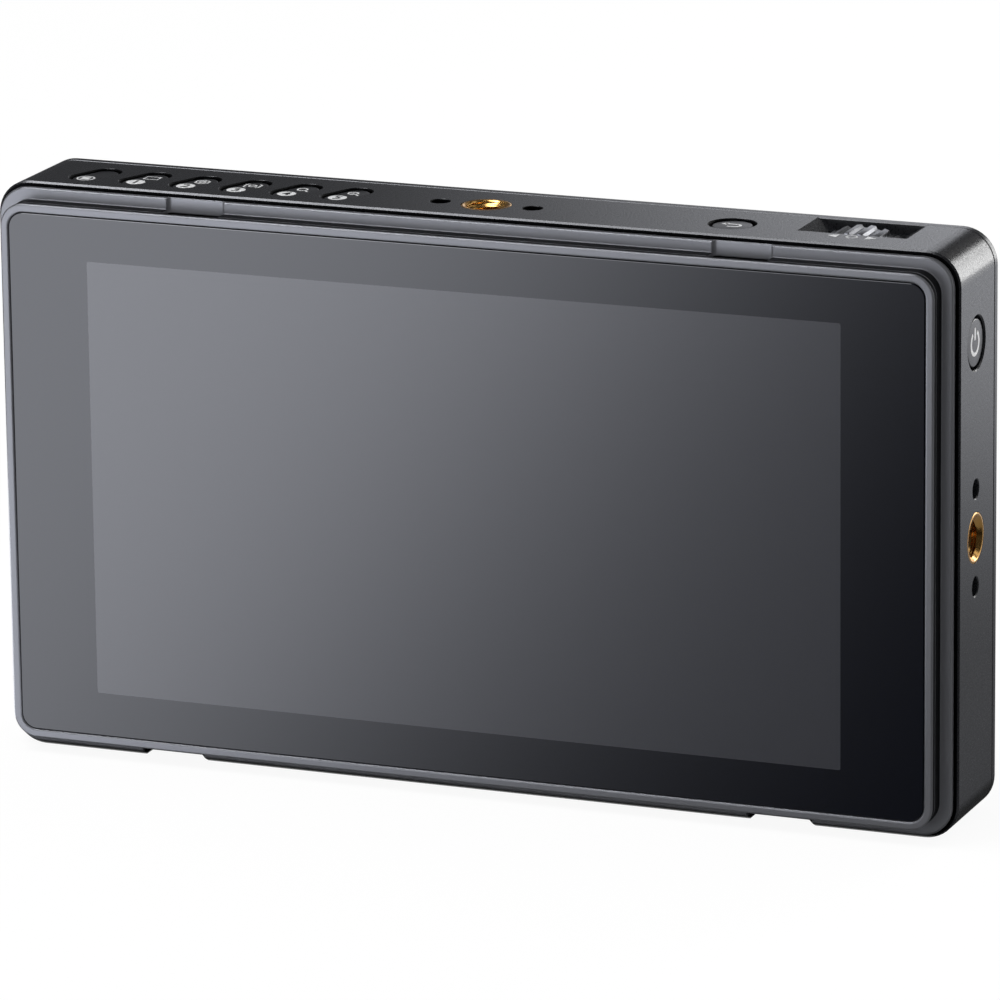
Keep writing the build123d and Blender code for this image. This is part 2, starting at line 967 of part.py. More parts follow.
with BuildPart() as plate_screws:
    seat = plate_face - plate_screw_head_height - lip_gap
    for at in plate_screw_places:
        disc(back_plane(seat + plate_screw_head_height), plate_screw_head, plate_screw_head_height, at)
        disc(back_plane(seat), plate_screw_radius, seat - housing_back, at)
        with BuildSketch(back_plane(seat + plate_screw_head_height)) as socket:
            with Locations(at):
                RegularPolygon(screw_socket, 6)
        extrude(socket.sketch, amount=-plate_screw_head_height / 2, mode=Mode.SUBTRACT)
finish(plate_screws, "plate_screws")

with BuildPart() as contact_block:
    slab(
        back_plane(plate_face + contact_thickness),
        contact_width,
        contact_height,
        contact_thickness,
        at=(0, contact_rise),
    )
    slab(
        back_plane(plate_face),
        contact_tail_width,
        contact_tail_height,
        plate_face - housing_back,
        at=(0, contact_rise),
    )
finish(contact_block, "contact_block")

blade_xs = [-contact_pitch, 0, contact_pitch]

with BuildPart() as contact_blades:
    for x in blade_xs:
        slab(
            back_plane(plate_face + (contact_thickness + blade_height) / 2),
            blade_thickness,
            blade_length,
            blade_height,
            at=(x, contact_rise + (contact_height + blade_length) / 2),
        )
finish(contact_blades, "contact_blades")

# ---- battery latch ------------------------------------------------------------------------

flange_back = housing_back - lip_gap
flange_front = flange_back - latch_flange
spring_back = flange_front - latch_stand
keeper_floor = spring_back - latch_spring_length
keeper_width = latch_width
keeper_reach = latch_depth / 2 + latch_flange + latch_gap + keeper_sheet

with BuildPart() as lock_pin:
    slab(
        back_plane(plate_face + latch_stand),
        latch_width,
        latch_depth,
        plate_face + latch_stand - flange_back,
        at=(-latch_x, latch_rise),
    )
    # the battery pushes the pin in by its sloped upper edge
    pin_tip = lock_pin.faces().sort_by(Axis.Y)[-1]
    chamfer(pin_tip.edges().sort_by(Axis.Z)[-1], latch_stand * latch_slope_share)
    slab(
        back_plane(flange_back),
        latch_width + 2 * latch_flange,
        latch_depth + 2 * latch_flange,
        latch_flange,
        at=(-latch_x, latch_rise),
    )
finish(lock_pin, "lock_pin")

with BuildPart() as latch_keeper:
    for side in (-1, 1):
        slab(
            back_plane(housing_back),
            keeper_width,
            keeper_sheet,
            housing_back - keeper_floor,
            at=(-latch_x, latch_rise + side * (keeper_reach - keeper_sheet / 2)),
        )
        slab(
            back_plane(housing_back),
            keeper_width,
            keeper_foot,
            keeper_sheet,
            at=(-latch_x, latch_rise + side * (keeper_reach + keeper_foot / 2)),
        )
    slab(
        back_plane(keeper_floor),
        keeper_width,
        2 * keeper_reach,
        keeper_sheet,
        at=(-latch_x, latch_rise),
    )
finish(latch_keeper, "latch_keeper")

with BuildPart() as latch_spring:
    disc(back_plane(spring_back), latch_spring_radius, latch_spring_length, (-latch_x, latch_rise))
    disc(
        back_plane(spring_back),
        latch_spring_radius - latch_spring_wire,
        latch_spring_length,
        (-latch_x, latch_rise),
        Mode.SUBTRACT,
    )
finish(latch_spring, "latch_spring")

with BuildPart() as release_slide:
    cap_back = cover_back - release_recess + lip_gap + release_thickness
    slab(
        back_plane(cap_back),
        release_width,
        release_height,
        release_thickness,
        release_corner,
        at=(-release_x, release_rise),
    )
    for i in range(release_grips):
        rise = (i - (release_grips - 1) / 2) * release_height / (release_grips + 1)
        slab(
            back_plane(cap_back + release_grip),
            release_width - 2 * release_corner,
            release_grip_width,
            release_grip,
            at=(-release_x, release_rise + rise),
        )
    slab(
        back_plane(cap_back - release_thickness),
        release_stem,
        release_stem,
        cap_back - release_thickness - flange_back + release_arm,
        at=(-release_x, release_rise),
    )
    arm_end = latch_x + latch_width / 2 + latch_flange + rib_gap
    slab(
        back_plane(flange_back),
        release_x - arm_end + release_stem / 2,
        release_arm_height,
        release_arm,
        at=(-(arm_end + release_x + release_stem / 2) / 2, release_rise),
    )
finish(release_slide, "release_slide")

# ---- push buttons, their switches and boards ------------------------------------------------

def push_button(plane_at, outline, at):
    """A cap in the wall, a flange behind the wall that keeps it in, and a stem to work its switch."""
    with BuildPart() as cap:
        outline(plane_at(button_sink), 0, flange_top - button_sink, at)
        crown = cap.faces().sort_by(Axis(plane_at().origin, plane_at().z_dir))[-1]
        chamfer(crown.edges(), button_crown)
    add(cap.part)
    outline(plane_at(flange_top), button_flange, button_flange_thickness, at)
    disc(plane_at(flange_end), button_stem_radius, button_stem, at)


def tact_switch(plane_at, at, top=switch_top):
    """A square body with a round plunger, drawn as it stands when it is pressed."""
    slab(plane_at(top), switch_size, switch_size, switch_height, at=at)
    disc(plane_at(top - switch_plunger), switch_plunger_radius, switch_plunger, at)


def switch_board_slab(plane_at, width, depth, at, stakes):
    """A small circuit board on the stakes behind a switch."""
    slab(plane_at(switch_seat), width, depth, switch_board, at=at)
    for place in stakes:
        disc(plane_at(switch_seat), stake_pin_radius + stake_gap, switch_board, place, Mode.SUBTRACT)


for number, x in enumerate(function_xs, start=1):
    with BuildPart() as function_button:
        push_button(top_plane, function_outline, (x, 0))
    finish(function_button, f"function_button_{number}")

with BuildPart() as return_button:
    push_button(top_plane, return_outline, (return_x, 0))
finish(return_button, "return_button")

with BuildPart() as power_button:
    push_button(right_plane, power_outline, (0, power_rise))
finish(power_button, "power_button")

with BuildPart() as function_switches:
    for x in function_xs:
        tact_switch(top_plane, (x, 0))
finish(function_switches, "function_switches")

with BuildPart() as return_switch:
    tact_switch(top_plane, (return_x, 0))
finish(return_switch, "return_switch")

with BuildPart() as power_switch:
    tact_switch(right_plane, (0, power_rise))
finish(power_switch, "power_switch")

with BuildPart() as function_board:
    switch_board_slab(
        top_plane,
        function_count * function_pitch,
        switch_board_depth,
        (sum(function_xs) / function_count, 0),
        [(x, 0) for x in function_stakes],
    )
finish(function_board, "function_board")

with BuildPart() as return_board:
    switch_board_slab(
        top_plane,
        2 * return_stake + board_margin,
        switch_board_depth,
        (return_x, 0),
        [(return_x + side * return_stake, 0) for side in (-1, 1)],
    )
finish(return_board, "return_board")

with BuildPart() as power_board:
    switch_board_slab(
        right_plane,
        switch_board_depth,
        2 * power_stake + board_margin,
        (0, power_rise),
        [(0, power_rise + side * power_stake) for side in (-1, 1)],
    )
finish(power_board, "power_board")

# ---- menu wheel on its pressing cradle ------------------------------------------------------

with BuildPart() as menu_wheel:
    disc(wheel_plane(wheel_front), wheel_radius - wheel_rib_depth, wheel_width)
    rib_width = wheel_rib_share * 2 * pi * wheel_radius / wheel_ribs
    with BuildSketch(wheel_plane(wheel_front)) as ribs:
        with PolarLocations(wheel_radius - wheel_rib_depth, wheel_ribs):
            Rectangle(2 * wheel_rib_depth, rib_width)
    extrude(ribs.sketch, amount=-wheel_width)
    for y in (wheel_front, wheel_front + (wheel_width + wheel_web) / 2):
        disc(
            wheel_plane(y),
            wheel_radius - wheel_rib_depth - wheel_rim_wall,
            (wheel_width - wheel_web) / 2,
            mode=Mode.SUBTRACT,
        )
    disc(wheel_plane(wheel_front), wheel_hub_radius, wheel_width)
    disc(wheel_plane(wheel_front), axle_radius + axle_gap, wheel_width, mode=Mode.SUBTRACT)
finish(menu_wheel, "menu_wheel")

with BuildPart() as wheel_axle:
    disc(wheel_plane(cradle_front), axle_radius, cradle_rear - cradle_front)
finish(wheel_axle, "wheel_axle")

cradle_width = 2 * cradle_half_width
cradle_height = cradle_end - cradle_top

with BuildPart() as wheel_cradle:
    cheek_at = (0, wheel_drop - (cradle_top + cradle_end) / 2)
    for y in (cradle_front, cradle_rear - cradle_sheet):
        slab(wheel_plane(y), cradle_width, cradle_height, cradle_sheet, at=cheek_at)
        disc(wheel_plane(y), axle_radius, cradle_sheet, mode=Mode.SUBTRACT)
    slab(
        wheel_plane(cradle_front),
        cradle_width,
        cradle_sheet,
        cradle_rear - cradle_front,
        at=(0, wheel_drop - cradle_end + cradle_sheet / 2),
    )
finish(wheel_cradle, "wheel_cradle")

with BuildPart() as wheel_encoder:
    disc(wheel_plane(cradle_front + cradle_sheet), encoder_radius, encoder_thickness)
    disc(
        wheel_plane(cradle_front + cradle_sheet),
        wheel_hub_radius + wheel_gap,
        encoder_thickness,
        mode=Mode.SUBTRACT,
    )
finish(wheel_encoder, "wheel_encoder")

with BuildPart() as wheel_guide:
    guide_width = cradle_width + 2 * (guide_gap + guide_side)
    guide_height = guide_end - well_end
    guide_at = (0, wheel_drop - (guide_end + well_end) / 2)
    side_x = cradle_half_width + guide_gap + guide_side / 2
    slab(wheel_plane(guide_front), guide_width, guide_height, guide_sheet, at=guide_at)
    slab(wheel_plane(cradle_rear + guide_gap), guide_width, guide_height, guide_sheet, at=guide_at)
    for side in (-1, 1):
        for y in (guide_front, cradle_rear - cradle_sheet):
            slab(
                wheel_plane(y),
                guide_side,
                guide_height,
                guide_sheet + guide_gap + cradle_sheet,
                at=(side * side_x, guide_at[1]),
            )
    slab(
        wheel_plane(guide_front),
        guide_width,
        guide_sheet,
        guide_rear - guide_front,
        at=(0, wheel_drop - guide_end + guide_sheet / 2),
    )
finish(wheel_guide, "wheel_guide")

with BuildPart() as menu_switch:
    tact_switch(top_plane, (wheel_x, wheel_middle), menu_plunger_top + switch_plunger)
finish(menu_switch, "menu_switch")

# ---- threaded inserts -----------------------------------------------------------------------

def threaded_insert(plane):
    """A brass bush with a smooth bore at the thread's inner radius and a countersunk mouth."""
    disc(plane, insert_radius, insert_length)
    disc(plane, thread_radius, thread_length, mode=Mode.SUBTRACT)
    with BuildSketch(plane) as mouth:
        Circle(thread_mouth)
    extrude(mouth.sketch, amount=thread_radius - thread_mouth, taper=edge_slope, mode=Mode.SUBTRACT)


for plane, name in (
    (top_plane(), "top_insert"),
    (side_insert_plane(), "side_insert"),
    (base_plane(), "base_insert"),
):
    with BuildPart() as insert:
        threaded_insert(plane)
    finish(insert, name)

# ---- heat spreader, main board and what is on it ----------------------------------------------

with BuildPart() as heat_spreader:
    slab(face_plane(post_front), spreader_width, spreader_height, spreader_thickness)
    tab_height = lip_inner_height / 2 - rib_gap - spreader_height / 2
    for x, z in middle_posts:
        side = z / abs(z)
        slab(
            face_plane(post_front),
            2 * post_radius,
            tab_height,
            spreader_thickness,
            at=(x, side * (spreader_height + tab_height) / 2),
        )
        disc(
            face_plane(post_front), screw_radius + screw_gap, spreader_thickness, (x, z), Mode.SUBTRACT
        )
    for at in standoffs:
        disc(face_plane(spreader_back), standoff_radius, board_standoff, at)
        disc(
            face_plane(post_front),
            standoff_screw_radius + screw_gap,
            board_front - post_front,
            at,
            Mode.SUBTRACT,
        )
finish(heat_spreader, "heat_spreader")

with BuildPart() as main_board:
    slab(face_plane(board_front), board_width, board_height, board_thickness, at=(board_x, 0))
    for at in standoffs:
        disc(
            face_plane(board_front),
            standoff_screw_radius + screw_gap,
            board_thickness,
            at,
            Mode.SUBTRACT,
        )
finish(main_board, "main_board")

with BuildPart() as board_screws:
    for at in standoffs:
        disc(face_plane(board_back), standoff_radius, standoff_screw_head, at)
        disc(face_plane(post_front), standoff_screw_radius, board_back - post_front, at)
finish(board_screws, "board_screws")

with BuildPart() as processor:
    slab(
        face_plane(board_front - processor_thickness),
        processor_size,
        processor_size,
        processor_thickness,
        at=(board_x, 0),
    )
finish(processor, "processor")

with BuildPart() as processor_pad:
    slab(
        face_plane(spreader_back),
        processor_size,
        processor_size,
        board_standoff - processor_thickness,
        at=(board_x, 0),
    )
finish(processor_pad, "processor_pad")

with BuildPart() as shield_can:
    slab(
        face_plane(board_back),
        shield_width,
        shield_height,
        shield_thickness,
        at=(board_x, 0),
    )
finish(shield_can, "shield_can")

with BuildPart() as board_parts:
    for row in range(part_rows):
        for column in range(part_columns):
            slab(
                face_plane(board_back),
                part_size,
                part_size * part_shape,
                part_size * part_shape,
                at=(
                    board_x + shield_width / 2 + part_pitch * (column + 1),
                    part_pitch * (row - (part_rows - 1) / 2),
                ),
            )
finish(board_parts, "board_parts")

# ---- sockets ----------------------------------------------------------------------------------

def socket_at(height, rise):
    """The middle of a socket that sits on the back of the board, as a place on the left side."""
    return (control_depth - board_back - height / 2, rise)


def video_socket(rise):
    """A folded metal shell round a flat tongue."""
    at = socket_at(video_height, rise)
    slab(left_plane(socket_sink), video_height, video_width, video_length, at=at)
    slab(
        left_plane(socket_sink),
        video_height - 2 * socket_shell,
        video_width - 2 * socket_shell,
        video_length - socket_shell,
        at=at,
        mode=Mode.SUBTRACT,
    )
    slab(
        left_plane(socket_sink + tongue_sink),
        tongue_thickness,
        video_width - tongue_margin,
        video_length - tongue_sink,
        at=at,
    )


for rise, name in ((video_in_rise, "video_input"), (video_out_rise, "video_output")):
    with BuildPart() as video:
        video_socket(rise)
    finish(video, name)

with BuildPart() as usb_socket:
    usb_place = socket_at(usb_height, usb_rise)
    slab(left_plane(socket_sink), usb_height, usb_width, usb_length, usb_corner, usb_place)
    slab(
        left_plane(socket_sink),
        usb_height - 2 * socket_shell,
        usb_width - 2 * socket_shell,
        usb_length - socket_shell,
        usb_corner - socket_shell,
        usb_place,
        Mode.SUBTRACT,
    )
    slab(
        left_plane(socket_sink + tongue_sink),
        usb_tongue,
        usb_width - tongue_margin,
        usb_length - tongue_sink,
        at=usb_place,
    )
finish(usb_socket, "usb_socket")

with BuildPart() as power_socket:
    jack_place = socket_at(power_jack_size, power_jack_rise)
    slab(left_plane(wall), power_jack_size, power_jack_size, power_jack_length, at=jack_place)
    disc(left_plane(socket_sink), power_jack_mouth, power_jack_length - wall, jack_place)
    disc(
        left_plane(socket_sink),
        power_jack_mouth - socket_shell,
        power_jack_length - wall,
        jack_place,
        Mode.SUBTRACT,
    )
    disc(left_plane(wall), power_pin_radius, power_jack_length, jack_place)
finish(power_socket, "power_socket")

with BuildPart() as headphone_socket:
    phone_place = socket_at(phone_size, phone_rise)
    slab(left_plane(wall), phone_size, phone_size, phone_length, at=phone_place)
    disc(left_plane(socket_sink), phone_mouth, wall, phone_place)
    disc(
        left_plane(socket_sink),
        phone_mouth - socket_shell / 2,
        phone_length,
        phone_place,
        Mode.SUBTRACT,
    )
finish(headphone_socket, "headphone_socket")

# ---- ribbons and leads inside -------------------------------------------------------------------

def side_point(x, depth, rise):
    return (x, depth - overall_depth / 2, mid_z + rise)


def ribbon(points, width, bend):
    """A flat cable along a path with rounded bends."""
    with BuildLine() as path:
        FilletPolyline(*points, radius=bend)
    with BuildSketch(Plane(origin=path.line @ 0, x_dir=(1, 0, 0), z_dir=path.line % 0)) as section:
        Rectangle(width, ribbon_thickness)
    sweep(section.sketch, path=path.line)


ribbon_lift = ribbon_thickness / 2
board_face = board_back + ribbon_plug + ribbon_lift
board_base = -board_height / 2
lead_rise = board_base + lead_end

with BuildPart() as panel_ribbon:
    ribbon(
        [
            side_point(panel_ribbon_x, tray_back + ribbon_lift, board_base + ribbon_overlap),
            side_point(panel_ribbon_x, tray_back + ribbon_lift, -spreader_height / 2 - ribbon_clear),
            side_point(panel_ribbon_x, board_face, -spreader_height / 2 - ribbon_clear),
            side_point(panel_ribbon_x, board_face, board_base + ribbon_overlap),
        ],
        panel_ribbon_width,
        ribbon_bend,
    )
finish(panel_ribbon, "panel_ribbon")

with BuildPart() as button_ribbon:
    function_board_z = body_height / 2 - switch_board_back
    ribbon(
        [
            side_point(button_ribbon_x, button_ribbon_depth, function_board_z),
            side_point(button_ribbon_x, button_ribbon_depth, board_height / 2 + ribbon_clear),
            side_point(button_ribbon_x, board_face, board_height / 2 - ribbon_clear),
            side_point(button_ribbon_x, board_face, board_height / 2 - ribbon_overlap),
        ],
        button_ribbon_width,
        ribbon_bend,
    )
finish(button_ribbon, "button_ribbon")

with BuildPart() as ribbon_plugs:
    slab(
        face_plane(board_back),
        panel_ribbon_width,
        ribbon_plug_height,
        ribbon_plug,
        at=(panel_ribbon_x, board_base + ribbon_overlap - ribbon_plug_height / 2),
    )
    slab(
        face_plane(board_back),
        button_ribbon_width,
        ribbon_plug_height,
        ribbon_plug,
        at=(button_ribbon_x, board_height / 2 - ribbon_overlap + ribbon_plug_height / 2),
    )
finish(ribbon_plugs, "ribbon_plugs")

with BuildPart() as battery_leads:
    for x in (-contact_pitch, contact_pitch):
        with BuildLine() as route:
            FilletPolyline(
                side_point(x, housing_back, contact_rise),
                side_point(x, lead_depth, contact_rise),
                side_point(x, lead_depth, lead_rise),
                side_point(x, board_back, lead_rise),
                radius=lead_bend,
            )
        with BuildSketch(Plane(origin=route.line @ 0, z_dir=route.line % 0)) as section:
            Circle(lead_radius)
        sweep(section.sketch, path=route.line)
finish(battery_leads, "battery_leads")
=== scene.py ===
from functools import partial

import bmesh
import bpy
import numpy as np
from bpy.props import FloatProperty, FloatVectorProperty, IntProperty, PointerProperty
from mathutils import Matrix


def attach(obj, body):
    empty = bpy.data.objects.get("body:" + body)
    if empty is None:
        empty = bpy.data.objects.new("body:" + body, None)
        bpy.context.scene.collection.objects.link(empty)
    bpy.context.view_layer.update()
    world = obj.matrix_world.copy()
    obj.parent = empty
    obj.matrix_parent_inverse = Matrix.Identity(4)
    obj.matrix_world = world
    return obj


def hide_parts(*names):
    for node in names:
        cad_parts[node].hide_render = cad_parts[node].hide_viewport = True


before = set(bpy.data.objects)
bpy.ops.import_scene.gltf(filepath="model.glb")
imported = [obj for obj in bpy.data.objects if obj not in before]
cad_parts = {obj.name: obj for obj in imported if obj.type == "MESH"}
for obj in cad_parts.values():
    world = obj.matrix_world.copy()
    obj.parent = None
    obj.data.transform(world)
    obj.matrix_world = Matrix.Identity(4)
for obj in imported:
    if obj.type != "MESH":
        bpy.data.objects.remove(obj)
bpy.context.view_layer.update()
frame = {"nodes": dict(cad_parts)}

bl_info = {
    "name": "Field monitor finishes",
    "version": (1, 0, 0),
    "blender": (4, 5, 0),
    "location": "3D View > Sidebar > Monitor",
    "description": "Dresses the solids of a 5.5 inch camera monitor and sets its stage",
    "category": "Object",
}

# The object is in metres, and the sizes of its pieces are in millimetres. Its origin is the
# middle of its footprint, +X is to the right of someone facing the screen, the screen faces -Y
# and +Z is up.
MM = 0.001

half_width = 77.8
body_height = 90.0
mid_z = body_height / 2
front_y = -14.3
# the line through the middles of the buttons, threads and sockets
controls_y = -1.9
# how far the main board's back, 9.5 behind the front plane, lies in front of that line
board_ahead = 12.4 - 9.5

hood_slot_x = 44.2
return_x = 39.5
power_z = 74.8
wheel_centre = (58.7, 0.6, 79.6)
function_xs = [-64.8 + 8.4 * i for i in range(6)]
function_slant = 22.0
# how far a button's cap lies below the wall round it
cap_sink = 0.25

# the faces that parts stand on: the directions of their x, y and height
TOP = ((1, 0, 0), (0, 1, 0), (0, 0, 1))
BASE = ((1, 0, 0), (0, -1, 0), (0, 0, -1))
RIGHT = ((0, 1, 0), (0, 0, 1), (1, 0, 0))
LEFT = ((0, -1, 0), (0, 0, 1), (-1, 0, 0))
FRONT = ((1, 0, 0), (0, 0, 1), (0, -1, 0))


def linear(code):
    """A colour written as sRGB hex, turned to the linear values that a shader takes."""
    value = np.array([int(code[i:i + 2], 16) / 255 for i in (1, 3, 5)])
    value = np.where(value <= 0.04045, value / 12.92, ((value + 0.055) / 1.055) ** 2.4)
    return (*value.tolist(), 1.0)


# ---- surfaces ----

def net(points, round_rows=False, round_columns=True):
    """Points on a grid and the quads between neighbours, closed on itself where it is round."""
    points = np.asarray(points, float)
    rows, columns = points.shape[:2]
    i = np.arange(rows if round_rows else rows - 1)[:, None]
    j = np.arange(columns if round_columns else columns - 1)[None, :]
    here, there, beside = i * columns, (i + 1) % rows * columns, (j + 1) % columns
    quads = np.stack([here + j, there + j, there + beside, here + beside], -1)
    return points.reshape(-1, 3), quads.reshape(-1, 4).tolist()


def outline(width, height, radius, steps=10):
    """A rounded rectangle as corner centres, outward directions and the corner radius."""
    angles = np.linspace(0, np.pi / 2, steps + 1) + np.arange(4)[:, None] * np.pi / 2
    directions = np.stack([np.cos(angles), np.sin(angles)], -1).reshape(-1, 2)
    quarters = np.array([(1, 1), (-1, 1), (-1, -1), (1, -1)])
    centres = quarters * (width / 2 - radius, height / 2 - radius)
    return np.repeat(centres, steps + 1, axis=0), directions, radius


def lifted(flat, heights):
    """Rows of flat points, each row at its own height."""
    heights = np.broadcast_to(heights[:, None, None], flat.shape[:2] + (1,))
    return np.concatenate([flat, heights], -1)


def carried(profile, shape):
    """A profile of (offset, height) pairs carried round an outline.
    Each point is corner centre + (corner radius + offset) x direction, lifted by the height."""
    centres, directions, radius = shape
    profile = np.asarray(profile, float)
    flat = centres[None] + (radius + profile[:, :1])[..., None] * directions[None]
    return lifted(flat, profile[:, 1])


def turned(profile, steps=64):
    """A profile of (radius, height) pairs turned round its own axis: (r cos a, r sin a, h)."""
    profile = np.asarray(profile, float)
    angles = np.linspace(0, 2 * np.pi, steps, endpoint=False)
    ring = np.stack([np.cos(angles), np.sin(angles)], -1)
    return lifted(profile[:, :1, None] * ring[None], profile[:, 1])


def lidded(points):
    """A net that is round in its columns, with a flat lid on its first and its last ring."""
    verts, faces = net(points)
    columns = points.shape[1]
    last = len(verts) - columns
    return verts, faces + [list(range(columns)), list(range(last, last + columns))]


def stroke(path, width, height=0.02, closed=False):
    """A printed line: each point of a flat path is moved half the width to both sides along the
    normal of its neighbours, and the strip gets a small height."""
    path = np.asarray(path, float)
    if closed:
        course = np.roll(path, -1, 0) - np.roll(path, 1, 0)
    else:
        course = np.gradient(path, axis=0)
    course /= np.linalg.norm(course, axis=1)[:, None]
    side = np.stack([-course[:, 1], course[:, 0]], -1) * width / 2
    ring = np.stack([path - side, path + side, path + side, path - side], 1)
    lift = np.array([0, 0, height, height])[None, :, None]
    points = np.concatenate([ring, np.broadcast_to(lift, ring.shape[:2] + (1,))], -1)
    verts, faces = net(points, round_rows=closed)
    if not closed:
        end = len(verts) - 4
        faces += [[0, 1, 2, 3], [end, end + 1, end + 2, end + 3]]
    return verts, faces


def patch(corners, height=0.02):
    """A flat printed patch: a polygon with a small height."""
    corners = np.asarray(corners, float)
    base = np.concatenate([corners, np.zeros((len(corners), 1))], -1)
    return lidded(np.stack([base, base + (0, 0, height)]))


def arc(radius, start=0.0, end=360.0, centre=(0, 0), steps=40):
    """Points on an arc between two angles in degrees. A whole turn leaves out its end."""
    part_turn = abs(end - start) < 360
    angles = np.radians(np.linspace(start, end, steps, endpoint=part_turn))
    return np.stack([np.cos(angles), np.sin(angles)], -1) * radius + centre


def block(low, high):
    """A plain box between two corners."""
    low, high = np.asarray(low, float), np.asarray(high, float)
    ring = np.array([(0, 0), (1, 0), (1, 1), (0, 1)])
    levels = [np.concatenate([ring, np.full((4, 1), k)], -1) for k in (0, 1)]
    return lidded(low + np.stack(levels) * (high - low))


def placed(parts, axes, origin):
    """Parts drawn flat in millimetres, stood on a face: origin + x u + y v + z w."""
    turn, start = np.array(axes, float), np.array(origin, float)
    return [(np.asarray(verts) @ turn + start, faces) for verts, faces in parts]


def shifted(parts, x, y, z=0.0):
    """Parts moved, without turning them."""
    return [(np.asarray(verts) + (x, y, z), faces) for verts, faces in parts]


def slanted(parts, angle):
    """Flat parts turned clockwise round the middle, so that their far ends lean right."""
    lean = np.radians(angle)
    turn = np.array([(np.cos(lean), -np.sin(lean), 0), (np.sin(lean), np.cos(lean), 0), (0, 0, 1)])
    return [(np.asarray(verts) @ turn, faces) for verts, faces in parts]


def linked(name, data):
    """A new object, put into the scene."""
    made = bpy.data.objects.new(name, data)
    bpy.context.scene.collection.objects.link(made)
    return made


def piece(name, parts, materials, body="housing", replaces=(), angle=35.0, choice=()):
    """Joins parts into one mesh at the origin, merges its doubles, turns its faces outwards
    and shades it smooth up to an angle."""
    verts, faces = [], []
    for part_verts, part_faces in parts:
        shift = sum(len(v) for v in verts)
        verts.append(part_verts)
        faces += [[shift + k for k in face] for face in part_faces]
    mesh = bpy.data.meshes.new(name)
    mesh.from_pydata((np.concatenate(verts) * MM).tolist(), [], faces)
    for one in materials:
        mesh.materials.append(one)
    if len(choice):
        mesh.polygons.foreach_set("material_index", np.asarray(choice, np.int32))
    work = bmesh.new()
    work.from_mesh(mesh)
    bmesh.ops.remove_doubles(work, verts=work.verts, dist=1e-7)
    bmesh.ops.dissolve_degenerate(work, edges=work.edges, dist=1e-8)
    bmesh.ops.recalc_face_normals(work, faces=work.faces)
    work.to_mesh(mesh)
    work.free()
    mesh.shade_smooth()
    mesh.set_sharp_from_angle(angle=np.radians(angle))
    made = linked(name, mesh)
    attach(made, body)
    if replaces:
        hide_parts(*replaces)
    return made


# ---- materials ----

# width in mm of the slow changes of tone, and how far the gloss swings
slow_change = 20
gloss_swing = 0.05
# nearly all of a noise lies between these
noise_range = {"From Min": 0.3, "From Max": 0.7}
# how rough a darkened place is, and how much brighter the hood slots are made: partly bare
# milled metal, partly a painted highlight
dull = 0.65
bare_and_highlight_gain = 1.55


def node(tree, kind, inputs=None, **settings):
    """Adds one node, with its settings, its numbers and its links, and gives its outputs."""
    new = tree.nodes.new("ShaderNode" + kind)
    for key, value in settings.items():
        setattr(new, key, value)
    for key, value in (inputs or {}).items():
        if isinstance(value, bpy.types.NodeSocket):
            tree.links.new(value, new.inputs[key])
        else:
            new.inputs[key].default_value = value
    return new.outputs


def blank(name):
    """A material with no nodes, and a function that adds a node to it."""
    made = bpy.data.materials.new(name)
    made.use_nodes = True
    made.node_tree.nodes.clear()
    return made, partial(node, made.node_tree)


def shade(colour, factor):
    """A colour made darker or lighter by a factor."""
    return (*[min(1.0, c * factor) for c in colour[:3]], 1.0)


def seen(add):
    """1 for what the camera sees, itself, mirrored or through glass, and 0 for what lights."""
    path = add("LightPath")
    direct = add("Math", {0: path["Is Camera Ray"], 1: path["Is Glossy Ray"]}, operation="MAXIMUM")
    return add("Math", {0: direct[0], 1: path["Is Transmission Ray"]}, operation="MAXIMUM")[0]


def bezel_wall(add, place, half_x=75.3, half_z=42.5, corner=3.7, front=-13.95, back=-10.75,
               tolerance=0.06):
    """1 on the wall round the bezel, behind its edge, and 0 elsewhere: the distance to the
    bezel's outline is the length of max(|p| - (half size - corner), 0) less the corner."""
    centred = add("VectorMath", {0: place, 1: (0, 0, mid_z * MM)}, operation="SUBTRACT")
    folded = add("VectorMath", {0: centred[0]}, operation="ABSOLUTE")
    # a whole metre off y leaves it out of the length
    inner = ((half_x - corner) * MM, 1.0, (half_z - corner) * MM)
    past = add("VectorMath", {0: folded[0], 1: inner}, operation="SUBTRACT")
    past = add("VectorMath", {0: past[0], 1: (0, 0, 0)}, operation="MAXIMUM")
    reach = add("VectorMath", {0: past[0]}, operation="LENGTH")
    near = add("Math", {0: reach["Value"], 1: corner * MM, 2: tolerance * MM}, operation="COMPARE")
    depth = add("SeparateXYZ", {0: place})[1]
    middle, half = (front + back) / 2 * MM, (back - front) / 2 * MM
    between = add("Math", {0: depth, 1: middle, 2: half}, operation="COMPARE")
    return add("Math", {0: near[0], 1: between[0]}, operation="MULTIPLY")[0]


def painted_gap_shade(add, place, face=-9.33, low=(-71.5, -9.0, 80.0), high=(46.0, 5.0, 89.965)):
    """1 on the housing's front face, which shows as a narrow step round the frame, and on the
    walls of the button pockets below the top, else 0: where shade in these gaps is painted near
    black.
    In the pockets' box the greatest of |p - middle| - half size is below 0."""
    low, high = np.array(low) * MM, np.array(high) * MM
    depth = add("SeparateXYZ", {0: place})[1]
    step = add("Math", {0: depth, 1: face * MM}, operation="LESS_THAN")
    centred = add("VectorMath", {0: place, 1: (low + high) / 2}, operation="SUBTRACT")
    folded = add("VectorMath", {0: centred[0]}, operation="ABSOLUTE")
    past = add("VectorMath", {0: folded[0], 1: (high - low) / 2}, operation="SUBTRACT")
    split = add("SeparateXYZ", {0: past[0]})
    most = add("Math", {0: split[0], 1: split[1]}, operation="MAXIMUM")
    most = add("Math", {0: most[0], 1: split[2]}, operation="MAXIMUM")
    pockets = add("Math", {0: most[0], 1: 0.0}, operation="LESS_THAN")
    return add("Math", {0: step[0], 1: pockets[0]}, operation="MAXIMUM")[0]


